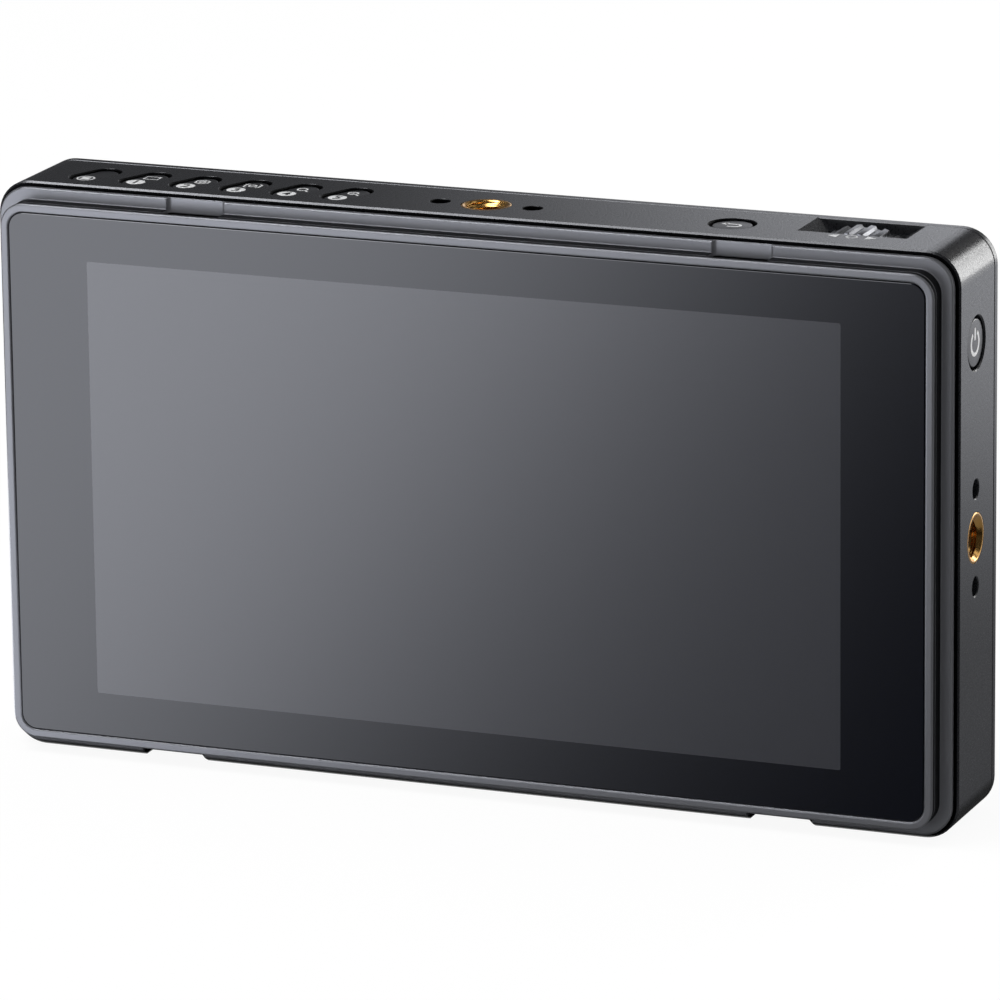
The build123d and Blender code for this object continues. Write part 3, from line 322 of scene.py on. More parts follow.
def hood_slots(add, place, half_slot=4.8, front=-10.58, floor=86.4):
    """1 in the two slots of the sun hood's upper clips, behind the rim's front, else 0: where
    the frame is made brighter, partly as bare milled metal and partly as a painted highlight.
    """
    split = add("SeparateXYZ", {0: place})
    side = add("Math", {0: split[0]}, operation="ABSOLUTE")
    across = add("Math", {0: side[0], 1: hood_slot_x * MM, 2: half_slot * MM}, operation="COMPARE")
    behind = add("Math", {0: split[1], 1: front * MM}, operation="GREATER_THAN")
    above = add("Math", {0: split[2], 1: floor * MM}, operation="GREATER_THAN")
    both = add("Math", {0: across[0], 1: behind[0]}, operation="MULTIPLY")
    return add("Math", {0: both[0], 1: above[0]}, operation="MULTIPLY")[0]


def surface(name, colour, roughness, metallic=0.0, grain=0.3, relief=0.003, tone=0.08,
            stretch=(1, 1, 1), edge=0.15, specular=0.5, darkened=None, black=None,
            milled=None):
    """A finish with a grain of a real width in mm and depth in mm, slow changes of tone, a
    gloss that changes with the grain, and edges that catch the light over a small radius.
    Where the darkened mask is 1, it is dull and gives back no more than that black: painted
    shade in the housing's gaps, and a near black wall round the bezel. Where the milled mask
    is 1, it is made brighter, partly as bare milled metal and partly as a painted highlight."""
    made, add = blank(name)
    place = add("TexCoord")["Object"]
    drawn = add("Mapping", {"Vector": place, "Scale": stretch})[0]
    fine = add("TexNoise", {"Vector": drawn, "Scale": 1 / (grain * MM), "Detail": 2.0})
    broad = add("TexNoise", {"Vector": place, "Scale": 1 / (slow_change * MM), "Detail": 3.0})
    tones = add("Mix", {0: broad["Fac"], 6: shade(colour, 1 - tone), 7: shade(colour, 1 + tone)},
                data_type="RGBA")
    gloss = add("MapRange", {
        "Value": fine["Fac"], **noise_range, "To Min": max(0.02, roughness - gloss_swing),
        "To Max": min(1.0, roughness + gloss_swing)})
    # the hood slots made brighter: partly bare milled metal, partly a painted highlight
    if milled:
        bare_and_highlight_colour = shade(colour, bare_and_highlight_gain)
        tones = add("Mix", {0: milled(add, place), 6: tones[2], 7: bare_and_highlight_colour}, data_type="RGBA")
    # painted shade in the housing's gaps, and the bezel's wall made near black
    if darkened:
        mask = darkened(add, place)
        metallic = add("MapRange", {"Value": mask, "To Min": metallic, "To Max": 1.0})[0]
        tones = add("Mix", {0: mask, 6: tones[2], 7: linear(black)}, data_type="RGBA")
        gloss = add("MapRange", {"Value": mask, "To Min": gloss[0], "To Max": dull})
    soft = add("Bevel", {"Radius": edge * MM}, samples=8)
    bump = add("Bump", {"Height": fine["Fac"], "Distance": relief * MM, "Normal": soft[0]})
    bsdf = add("BsdfPrincipled", {
        "Base Color": tones[2], "Roughness": gloss[0], "Metallic": metallic,
        "Normal": bump[0], "Specular IOR Level": specular})
    add("OutputMaterial", {"Surface": bsdf[0]})
    return made


def glazed(name, colour, specular, roughness=0.025, change=30):
    """Polished glass over something dark that it is bonded to. Its roughness changes a little
    over some millimetres, as on a glass that has been wiped."""
    made, add = blank(name)
    place = add("TexCoord")["Object"]
    broad = add("TexNoise", {"Vector": place, "Scale": 1 / (change * MM), "Detail": 2.0})
    gloss = add("MapRange", {"Value": broad["Fac"], **noise_range, "To Min": roughness * 0.8,
                             "To Max": roughness * 1.2})
    bsdf = add("BsdfPrincipled", {"Base Color": colour, "Roughness": gloss[0], "IOR": 1.5,
                                  "Specular IOR Level": specular})
    add("OutputMaterial", {"Surface": bsdf[0]})
    return made


def laminate(name, colour, copper, track=0.12, pitch=1.1, run=3.2):
    """Glass-fibre board: a grid of tracks of a real pitch shows paler through the green mask."""
    made, add = blank(name)
    place = add("TexCoord")["Object"]
    tracks = add("TexBrick", {
        "Vector": place, "Scale": 1.0, "Mortar Size": track * MM, "Mortar Smooth": 0.2,
        "Brick Width": run * MM, "Row Height": pitch * MM, "Color1": colour,
        "Color2": shade(colour, 0.75), "Mortar": copper})
    bsdf = add("BsdfPrincipled", {"Base Color": tracks["Color"], "Roughness": 0.35})
    add("OutputMaterial", {"Surface": bsdf[0]})
    return made


# ---- settings ----

def tint(name, description, code):
    """A colour setting that starts from a hex code."""
    return FloatVectorProperty(name=name, description=description, subtype="COLOR", size=4,
                               min=0, max=1, default=linear(code))


class MonitorColours(bpy.types.PropertyGroup):
    """Colours of the parts that show."""

    housing: tint("Housing", "Moulded housing", "#1b1c1f")
    cover: tint("Rear cover", "Moulded rear cover and battery plate", "#1f2023")
    frame: tint("Front frame", "Anodised frame round the glass", "#66676b")
    border: tint("Glass border", "Print behind the edge of the glass", "#080a12")
    panel: tint("Display", "Display cell when it is off", "#38393e")
    cap: tint("Button caps", "Moulded caps of the buttons", "#1d1e21")
    print_white: tint("Marks", "Printed marks", "#dcddde")
    wheel: tint("Wheel", "Anodised menu wheel", "#6e6f73")
    brass: tint("Brass", "Turned brass of the camera threads", "#d9a860")


def number(name, description, default, low, high, **more):
    """A number setting with its limits."""
    return FloatProperty(name=name, description=description, default=default, min=low,
                         max=high, **more)


class MonitorSizes(bpy.types.PropertyGroup):
    """Sizes of the pieces that are modelled over the solids, in millimetres."""

    cap_edge: number("Cap edge", "Radius of the edge round a button's cap, in mm", 0.2, 0.05, 0.6)
    disc_radius: number("Number disc", "Radius of the disc behind a button's number, in mm",
                        1.48, 0.5, 2.0)
    icon_stroke: number("Mark stroke", "Width of the lines of a button's mark, in mm",
                        0.3, 0.1, 1.0)
    thread_pitch: number("Thread pitch", "Pitch of the camera threads, in mm", 1.27, 0.5, 2.0)
    wheel_ribs: IntProperty(
        name="Wheel ribs", description="Number of ribs round the menu wheel",
        min=10, max=80, default=30)
    rib_depth: number("Rib depth", "Depth between the wheel's ribs, in mm", 0.45, 0.1, 1.0)


class MonitorStage(bpy.types.PropertyGroup):
    """The room that the monitor stands in."""

    lens: number("Lens", "Focal length on a 36 mm sensor, in mm", 272.0, 20, 400)
    top_light: number("Top light", "Power of the soft light overhead", 4.0, 0, 50, unit="POWER")
    edge_light: number("Edge light", "Power of the soft light behind on the right", 2.0, 0, 50,
                       unit="POWER")
    sky: number("Room light", "Strength of the even light all round", 0.5, 0, 2)
    panel_light: number("Panel", "Strength of the lit panel that the glass mirrors", 4.5, 0, 10)


# ---- pieces ----

def dress(made, *names):
    """Gives CAD nodes a material through their own slots."""
    for name in names:
        solid = frame["nodes"][name]
        for slot in solid.material_slots:
            slot.material = made
        if not solid.material_slots:
            solid.data.materials.append(made)


class MONITOR_OT_shell(bpy.types.Operator):
    """Housing, covers and frame, which keep their solids and get their finishes"""

    bl_idname = "monitor.shell"
    bl_label = "Shell finishes"

    def execute(self, context):
        colours = context.scene.monitor_colours
        # ABS with glass fibre, moulded in a spark-eroded tool: matt, with a fine even sparkle
        # its front step round the frame and its button pocket walls get painted shade, near black
        # and dull
        moulded = surface("spark_grained_abs", colours.housing, 0.28, relief=0.009, edge=0.03,
                          darkened=painted_gap_shade, black="#0a0a0b")
        dress(moulded, "main_housing")
        # the same plastic from a finer tool, a little paler and smoother
        cover = surface("fine_grained_abs", colours.cover, 0.3, relief=0.01, edge=0.03)
        dress(cover, "rear_cover", "battery_plate")
        # aluminium, bead blasted and anodised grey: the thick oxide scatters light as paint
        # does and only shines on its edges. The wall round the bezel is made near black and dull,
        # and the hood slots are made brighter, partly as bare milled metal and partly as a painted
        # highlight
        satin = surface("anodised_aluminium", colours.frame, 0.34, metallic=0.35, grain=0.2,
                        edge=0.3, tone=0.04, darkened=bezel_wall, black="#242426",
                        milled=hood_slots)
        dress(satin, "front_frame")
        # acetal, moulded in a polished tool: smooth and faintly waxy
        slick = surface("moulded_acetal", linear("#1f2022"), 0.38, grain=0.6)
        dress(slick, "release_slide", "lock_pin")
        return {"FINISHED"}


class MONITOR_OT_inside(bpy.types.Operator):
    """Everything behind the shell, which shows only through the vents and the sockets"""

    bl_idname = "monitor.inside"
    bl_label = "Inner finishes"

    def execute(self, context):
        # steel screws with a black oxide coat: dark, with a dull shine where the driver sits
        dress(surface("black_oxide_steel", linear("#3c3d40"), 0.35, metallic=1.0, grain=0.15,
                      edge=0.1), "case_screws", "plate_screws", "board_screws")
        # tinned steel sheet, rolled one way: bright with long faint lines
        dress(surface("tinned_steel_sheet", linear("#c4c5c8"), 0.28, metallic=1.0, grain=0.4,
                      relief=0.002, stretch=(0.05, 1, 1), edge=0.08),
              "panel_tray", "latch_keeper", "latch_spring", "shield_can", "wheel_axle")
        # nickel on a folded steel shell: bright and slightly warm
        dress(surface("nickel_plated_steel", linear("#b9b6ae"), 0.22, metallic=1.0, grain=0.5,
                      relief=0.002, edge=0.08), "usb_socket", "video_input", "video_output")
        # thin gold over springy copper: smooth and yellow
        dress(surface("gold_plated_copper", linear("#e3bd6a"), 0.2, metallic=1.0, grain=0.4,
                      relief=0.001, edge=0.05), "contact_blades")
        # glass-filled nylon, moulded smooth: black with a low shine
        dress(surface("moulded_nylon", linear("#18181a"), 0.4, grain=0.5, edge=0.08),
              "contact_block", "headphone_socket", "power_socket", "ribbon_plugs")
        # switch bodies and the wheel's carrier, moulded in plain polybutylene: dark and even
        dress(surface("moulded_polybutylene", linear("#303134"), 0.45, grain=0.5),
              "function_switches", "return_switch", "power_switch", "menu_switch",
              "wheel_cradle", "wheel_encoder", "wheel_guide")
        # glass-fibre boards under a green mask: glossy, with faint paler tracks
        dress(laminate("green_masked_laminate", linear("#134a2a"), linear("#2f7a4a")),
              "main_board", "function_board", "return_board", "power_board")
        # chips cast in epoxy with a laser-matt lid
        dress(surface("cast_epoxy", linear("#1c1c1e"), 0.6, grain=0.2), "processor", "board_parts")
        # silicone filled with ceramic: grey, dull and faintly speckled
        dress(surface("filled_silicone", linear("#8b9098"), 0.8, grain=0.4, relief=0.01,
                      tone=0.12), "processor_pad", "panel_pad")
        # acrylic foam tape: black and dead matt
        foam = surface("foam_tape", linear("#101011"), 0.9, grain=0.15, relief=0.02)
        dress(foam, "glass_tape")
        self.seals(foam)
        # polyimide film over copper tracks that run its length: amber with a printed shine
        dress(surface("polyimide_film", linear("#a8641c"), 0.25, grain=0.5, relief=0.002,
                      tone=0.25, stretch=(1, 0.05, 0.05)), "panel_ribbon", "button_ribbon")
        # white acrylic light guide under its films: pale and even
        dress(surface("white_acrylic", linear("#e4e5e6"), 0.3, grain=0.8, relief=0.001),
              "backlight")
        # stamped aluminium sheet, as rolled: pale with fine lines one way
        dress(surface("rolled_aluminium", linear("#b8babd"), 0.32, metallic=1.0, relief=0.002,
                      stretch=(0.06, 1, 1)), "heat_spreader")
        # soft vinyl round copper wire: red, with a low even shine
        dress(surface("vinyl_insulation", linear("#a31f1a"), 0.4, grain=0.6, relief=0.002),
              "battery_leads")
        # the display cell and touch film behind the glass: near black and smooth
        dress(glazed("cell_glass", linear("#141416"), 0.5), "lcd_cell", "touch_sensor")
        return {"FINISHED"}

    def seals(self, foam):
        """Stepped foam strips, which close the sun hood's two upper slots from inside."""
        half_length = 5.6
        front, step, back = front_y + 3.03, front_y + 4.6, front_y + 6.2
        bottom, tread, top = mid_z + 40.2, mid_z + 41.47, mid_z + 41.87
        strips = []
        for middle in (-hood_slot_x, hood_slot_x):
            low, high = middle - half_length, middle + half_length
            strips += [
                block((low, front, bottom), (high, back, tread)),
                block((low, step, tread), (high, back, top)),
            ]
        piece("hood_slot_seals", strips, [foam])


class MONITOR_OT_glass(bpy.types.Operator):
    """Cover glass with its black border and the dark display under it"""

    bl_idname = "monitor.glass"
    bl_label = "Glass"

    def execute(self, context):
        colours = context.scene.monitor_colours
        # width, height and corner
        glass, display, steps = (147.8, 82.2, 2.4), (121.76, 68.49, 0.3), 8
        thickness, bevel, rim, recess = 0.7, 0.1, 1.2, 0.05
        rings = carried([(0, -thickness), (0, -bevel), (-bevel, 0), (-rim, 0)],
                        outline(*glass, steps))
        # each corner of the border's inner ring meets one of the display, which is the lid
        inner = carried([(0, 0)], outline(*display, steps))
        verts, faces = lidded(np.concatenate([rings, inner]))
        choice = np.zeros(len(faces), int)
        choice[-1] = 1
        # glass over black print only mirrors
        border = glazed("black_printed_glass", colours.border, 0.56)
        # glass over a display mirrors a little more and lets a trace of grey through
        panel = glazed("switched_off_display", colours.panel, 0.685)
        piece("front_glass", placed([(verts, faces)], FRONT, (0, front_y + recess, mid_z)),
              [border, panel], replaces=["cover_glass"], angle=20,
              choice=choice)
        return {"FINISHED"}


def cap_part(shape, edge):
    """A cap carried round its outline: flat top, an edge that is a quarter circle, a straight
    side, a flange behind the wall and a flat base, with a round stem turned below it."""
    flange_reach, flange_top, flange_base, base_inset = 0.7, 1.85, 2.65, 1.0
    stem_radius, stem_top, stem_end, stem_steps = 1.1, 2.6, 3.85, 24
    turn = np.radians(np.linspace(90, 0, 7))
    crown = np.stack([-edge + edge * np.cos(turn), -cap_sink - edge + edge * np.sin(turn)], -1)
    low = [(0, -flange_top), (flange_reach, -flange_top), (flange_reach, -flange_base),
           (-base_inset, -flange_base)]
    stem = turned([(0, -stem_top), (stem_radius, -stem_top), (stem_radius, -stem_end),
                   (0, -stem_end)], stem_steps)
    return [lidded(carried(np.concatenate([crown, low]), shape)), net(stem)]


class MONITOR_OT_caps(bpy.types.Operator):
    """Six function buttons, the return button and the power button"""

    bl_idname = "monitor.caps"
    bl_label = "Button caps"

    def execute(self, context):
        edge = context.scene.monitor_sizes.cap_edge
        width, length, return_radius, power_radius = 3.89, 8.3, 3.1, 3.65
        # left straight between two corners that make a half circle
        straight = 1e-4
        # acrylic-modified ABS, moulded in a satin tool: smoother than the housing, with soft
        # highlights
        satin = surface("satin_moulded_abs", context.scene.monitor_colours.cap, 0.32, grain=0.22,
                        relief=0.005, edge=0.05, specular=0.65)
        pill = outline(width, length, width / 2 - straight, 16)
        for number, x in enumerate(function_xs, start=1):
            name = f"function_button_{number}"
            parts = placed(slanted(cap_part(pill, edge), function_slant), TOP,
                           (x, controls_y, body_height))
            piece(f"cap_{number}", parts, [satin], name, [name], 40)
        for name, axes, radius, origin in (
            ("return_button", TOP, return_radius, (return_x, controls_y, body_height)),
            ("power_button", RIGHT, power_radius, (half_width, controls_y, power_z)),
        ):
            disc = outline(2 * radius, 2 * radius, radius - straight, 20)
            piece(f"{name}_cap", placed(cap_part(disc, edge), axes, origin), [satin], name,
                  [name], 40)
        return {"FINISHED"}


def along(distance):
    """A place on the long axis of a function button, as x and y from its middle."""
    lean = np.radians(function_slant)
    return distance * np.sin(lean), distance * np.cos(lean)


def digit(text, size, at, origin, paint, body, name, thickness=0.01, weight=0.06):
    """A number from the built-in lettering, made a mesh and laid on the top."""
    curve = bpy.data.curves.new(name, "FONT")
    curve.body, curve.size, curve.extrude, curve.offset = text, size, thickness, weight
    curve.align_x, curve.align_y = "CENTER", "CENTER"
    temporary = linked(name, curve)
    flat = temporary.evaluated_get(bpy.context.evaluated_depsgraph_get())
    mesh = bpy.data.meshes.new_from_object(flat)
    bpy.data.objects.remove(temporary)
    co = np.zeros(len(mesh.vertices) * 3)
    mesh.vertices.foreach_get("co", co)
    co = co.reshape(-1, 3) + (*at, 0.0)
    mesh.vertices.foreach_set("co", ((co + origin) * MM).ravel())
    mesh.materials.clear()
    mesh.materials.append(paint)
    mesh.name = name
    made = linked(name, mesh)
    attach(made, body)
    return made


class MONITOR_OT_marks(bpy.types.Operator):
    """Plain numbers and signs printed on the buttons and beside the wheel"""

    bl_idname = "monitor.marks"
    bl_label = "Printed marks"

    def icons(self, line):
        """Flat signs by button: a frame, a nut, a focus mark, a glass, a glass with a bar."""
        hexagon = arc(1.2, 30, 390, steps=6)
        glass = [stroke(arc(0.78, centre=(-0.2, 0.2)), line, closed=True),
                 stroke([(0.38, -0.38), (1.15, -1.15)], line)]
        return {
            2: [stroke([(-1.15, -0.85), (1.15, -0.85), (1.15, 0.85), (-1.15, 0.85)], line,
                       closed=True)],
            3: [stroke(hexagon, line, closed=True), stroke(arc(0.48), line, closed=True)],
            4: [stroke(arc(0.6), line, closed=True),
                stroke([(-0.8, 1.1), (-1.25, 0.8), (-1.25, -0.8), (-0.8, -1.1)], line),
                stroke([(0.8, 1.1), (1.25, 0.8), (1.25, -0.8), (0.8, -1.1)], line)],
            5: glass,
            6: [*glass, stroke([(-0.55, 0.2), (0.15, 0.2)], line * 0.8)],
        }

    def execute(self, context):
        colours, sizes = context.scene.monitor_colours, context.scene.monitor_sizes
        line, film = sizes.icon_stroke, 0.02
        disc_place, icon_place, digit_size = -2.05, 1.55, 2.7
        cap_top = body_height - cap_sink
        # two-part ink, pad printed: opaque and smooth, a little proud of the plastic
        paint = surface("pad_printed_ink", colours.print_white, 0.5, relief=0.001, tone=0.03)
        # the same ink in near black, for the numbers on the discs
        dark = surface("dark_ink", linear("#1c1d1f"), 0.5, relief=0.001, tone=0.03)
        icons = self.icons(line)
        for number, x in enumerate(function_xs, start=1):
            top = (x, controls_y, cap_top)
            body = f"function_button_{number}"
            if number == 1:
                square = [(-0.7, -0.7), (0.7, -0.7), (0.7, 0.7), (-0.7, 0.7)]
                front = [stroke(arc(1.32), line, closed=True), patch(square)]
            else:
                radius = sizes.disc_radius
                front = [net(turned([(0, 0), (radius, 0), (radius, film), (0, film)], 48))]
            parts = shifted(front, *along(disc_place))
            parts += shifted(icons.get(number, []), *along(icon_place))
            piece(f"mark_{number}", placed(parts, TOP, top), [paint], body)
            if number > 1:
                digit(str(number - 1), digit_size, along(disc_place),
                      (x, controls_y, cap_top + film), dark, body, f"number_{number}")
        # an arrow that turns back
        bend = np.concatenate([[(-1.3, 0.75), (0.5, 0.75)], arc(0.8, 90, -90, (0.5, -0.05), 12),
                               [(-0.6, -0.85)]])
        arrow = [stroke(bend, 0.42), patch([(-1.0, 1.5), (-2.0, 0.75), (-1.0, 0.0)])]
        piece("return_mark", placed(arrow, TOP, (return_x, controls_y, cap_top)), [paint],
              "return_button")
        # the same ink, made brighter as painted light: the side wall that it is on gets less light
        thick = surface("ink_painted_brighter", shade(colours.print_white, 1.5), 0.5, relief=0.001,
                        tone=0.03)
        power = [stroke(arc(1.75, 125, 415, steps=40), 0.6), stroke([(0, 0.4), (0, 2.3)], 0.6)]
        side = (half_width - cap_sink, controls_y, power_z)
        # the brighter ink here is painted light for the dim side wall
        piece("power_mark", placed(power, RIGHT, side), [thick], "power_button")
        # two arrows and a ring, in front of the wheel
        dial = [
            stroke(arc(0.8), line, closed=True),
            patch([(-2.2, 0.95), (-3.9, 0), (-2.2, -0.95)]),
            patch([(2.2, -0.95), (3.9, 0), (2.2, 0.95)]),
        ]
        piece("dial_mark", placed(dial, TOP, (59.2, -4.45, body_height)), [paint])
        return {"FINISHED"}


class MONITOR_OT_threads(bpy.types.Operator):
    """Three brass inserts with a camera thread"""

    bl_idname = "monitor.threads"
    bl_label = "Threaded inserts"

    def execute(self, context):
        pitch = context.scene.monitor_sizes.thread_pitch
        # free-cutting brass, turned: warm and bright, with fine rings left by the tool
        brass = surface("turned_brass", context.scene.monitor_colours.brass, 0.24, metallic=1.0,
                        grain=0.35, relief=0.002, edge=0.05)
        minor, major, mouth, outer = 2.6, 3.175, 3.45, 3.9
        length, depth, chamfer = 8.0, 7.0, 0.12
        # points round a ring, rings in a pitch, and the crest's and the slope's shares of it
        steps, rings, crest, slope = 96, 12, 0.12, 0.76
        angles = np.linspace(0, 2 * np.pi, steps, endpoint=False)[None, :]
        drop = np.arange(0, depth, pitch / rings)[:, None]
        # thread: the radius swings between crest and root as a clipped triangle of one pitch,
        # a turn of which goes once round, and the countersunk mouth cuts the first crests away
        swing = np.abs(np.mod(drop / pitch - angles / (2 * np.pi), 1) * 2 - 1)
        bore = minor + (major - minor) * np.clip((swing - crest) / slope, 0, 1)
        bore = np.maximum(bore, mouth - drop)
        outside = np.array([(0.0, -length), (outer, -length), (outer, -chamfer),
                            (outer - chamfer, 0.0)])
        shape = (len(outside), steps)
        radii = np.concatenate([np.broadcast_to(outside[:, :1], shape), bore,
                                np.zeros((1, steps))])
        heights = np.concatenate([np.broadcast_to(outside[:, 1:], shape),
                                  np.broadcast_to(-drop, bore.shape),
                                  np.full((1, steps), -depth)])
        points = np.stack([radii * np.cos(angles), radii * np.sin(angles), heights], -1)
        for name, axes, origin in (
            ("top_insert", TOP, (0, controls_y, body_height)),
            ("side_insert", RIGHT, (half_width, controls_y, mid_z)),
            ("base_insert", BASE, (0, controls_y, 0)),
        ):
            piece(f"{name}_thread", placed([net(points)], axes, origin), [brass], "housing",
                  [name], 50)
        return {"FINISHED"}


class MONITOR_OT_wheel(bpy.types.Operator):
    """Ribbed menu wheel"""

    bl_idname = "monitor.wheel"
    bl_label = "Menu wheel"

    def execute(self, context):
        sizes = context.scene.monitor_sizes
        # aluminium, milled with ribs and anodised: bright crests, dark grooves
        milled = surface("milled_aluminium", context.scene.monitor_colours.wheel, 0.3,
                         metallic=1.0, grain=0.25, edge=0.05)
        radius, half, edge = 10.5, 3.3, 0.35
        # radii of the rim's inside, the hub, its bore and where the ribs start, and half the web
        inside, web, hub, bore, ribbed = 8.05, 1.0, 3.0, 1.25, 9.5
        rib_steps, steepness = 12, 1.3
        turn = np.radians(np.linspace(0, 90, 5))
        corner = np.stack(
            [radius - edge + edge * np.cos(turn), half - edge + edge * np.sin(turn)], -1)
        front = np.concatenate(
            [corner, [(inside, half), (inside, web), (hub, web), (hub, half), (bore, half)]])
        section = np.concatenate([front, front[::-1] * (1, -1)])
        steps = sizes.wheel_ribs * rib_steps
        angles = np.linspace(0, 2 * np.pi, steps, endpoint=False)[None, :]
        # ribs: a cosine of so many turns, steepened, clipped and eased, pulls the rim in
        # between them
        ridge = np.clip(0.5 + steepness * np.cos(sizes.wheel_ribs * angles), 0, 1)
        ridge = ridge * ridge * (3 - 2 * ridge)
        reach = section[:, :1]
        radii = reach - np.where(reach > ribbed, sizes.rib_depth * (1 - ridge), 0)
        sides = np.broadcast_to(section[:, 1:], radii.shape)
        points = np.stack([radii * np.cos(angles), sides, radii * np.sin(angles)], -1)
        verts, faces = net(points, round_rows=True)
        piece("menu_wheel_rim", [(verts + wheel_centre, faces)], [milled], "menu_wheel",
              ["menu_wheel"], 40)
        return {"FINISHED"}


class MONITOR_OT_sockets(bpy.types.Operator):
    """Contacts in the sockets on the left side"""

    bl_idname = "monitor.sockets"
    bl_label = "Socket contacts"

    def execute(self, context):
        # thin gold over copper, stamped: narrow bright strips
        gold = surface("stamped_gold_contacts", linear("#e6c173"), 0.22, metallic=1.0,
                       relief=0.001, edge=0.03)
        # nickel over brass, turned: a bright pin
        nickel = surface("nickel_plated_brass", linear("#c9c7c0"), 0.18, metallic=1.0,
                         relief=0.001, edge=0.05)
        origin = (-half_width, controls_y, mid_z)
        # two video sockets and one for data. Of each: the tongue's distance from the board's
        # back, its height, the reach to its two rows, the strips in a row, their pitch, how
        # deep they start, and half their thickness, half their width and their length
        strips = []
        for ahead, rise, reach, count, pitch, sink, (thick, wide, long) in (
            (2.8, 5.0, 0.6, 9, 1.1, 2.4, (0.04, 0.22, 4.0)),
            (2.8, -12.0, 0.6, 9, 1.1, 2.4, (0.04, 0.22, 4.0)),
            (1.65, -25.5, 0.35, 6, 0.85, 2.3, (0.03, 0.18, 3.0)),
        ):
            strip = [block((-thick, -wide, -long), (thick, wide, 0))]
            for side in (-1, 1):
                for i in range(count):
                    strips += shifted(strip, board_ahead - ahead + side * reach,
                                      rise + (i - (count - 1) / 2) * pitch, -sink)
        piece("socket_contacts", placed(strips, LEFT, origin), [gold])
        power_ahead, power_rise, radius, base = 4.0, 18.5, 1.03, -11.0
        pin = turned([(0, base), (radius, base), (radius, -2.1), (0.93, -1.85), (0.7, -1.72),
                      (0, -1.68)], 32)
        pin = shifted([net(pin)], board_ahead - power_ahead, power_rise)
        piece("power_pin", placed(pin, LEFT, origin), [nickel])
        return {"FINISHED"}


# ---- stage ----

def lying(x, y, height):
    """The corners of a level sheet between two places in x and two in y."""
    return [(x[i], y[j], height) for i, j in ((0, 0), (1, 0), (1, 1), (0, 1))]


def standing(x, y, z):
    """The corners of an upright sheet from one end to the other, between two heights."""
    return [(x[0], y[0], z[0]), (x[1], y[1], z[0]), (x[1], y[1], z[1]), (x[0], y[0], z[1])]


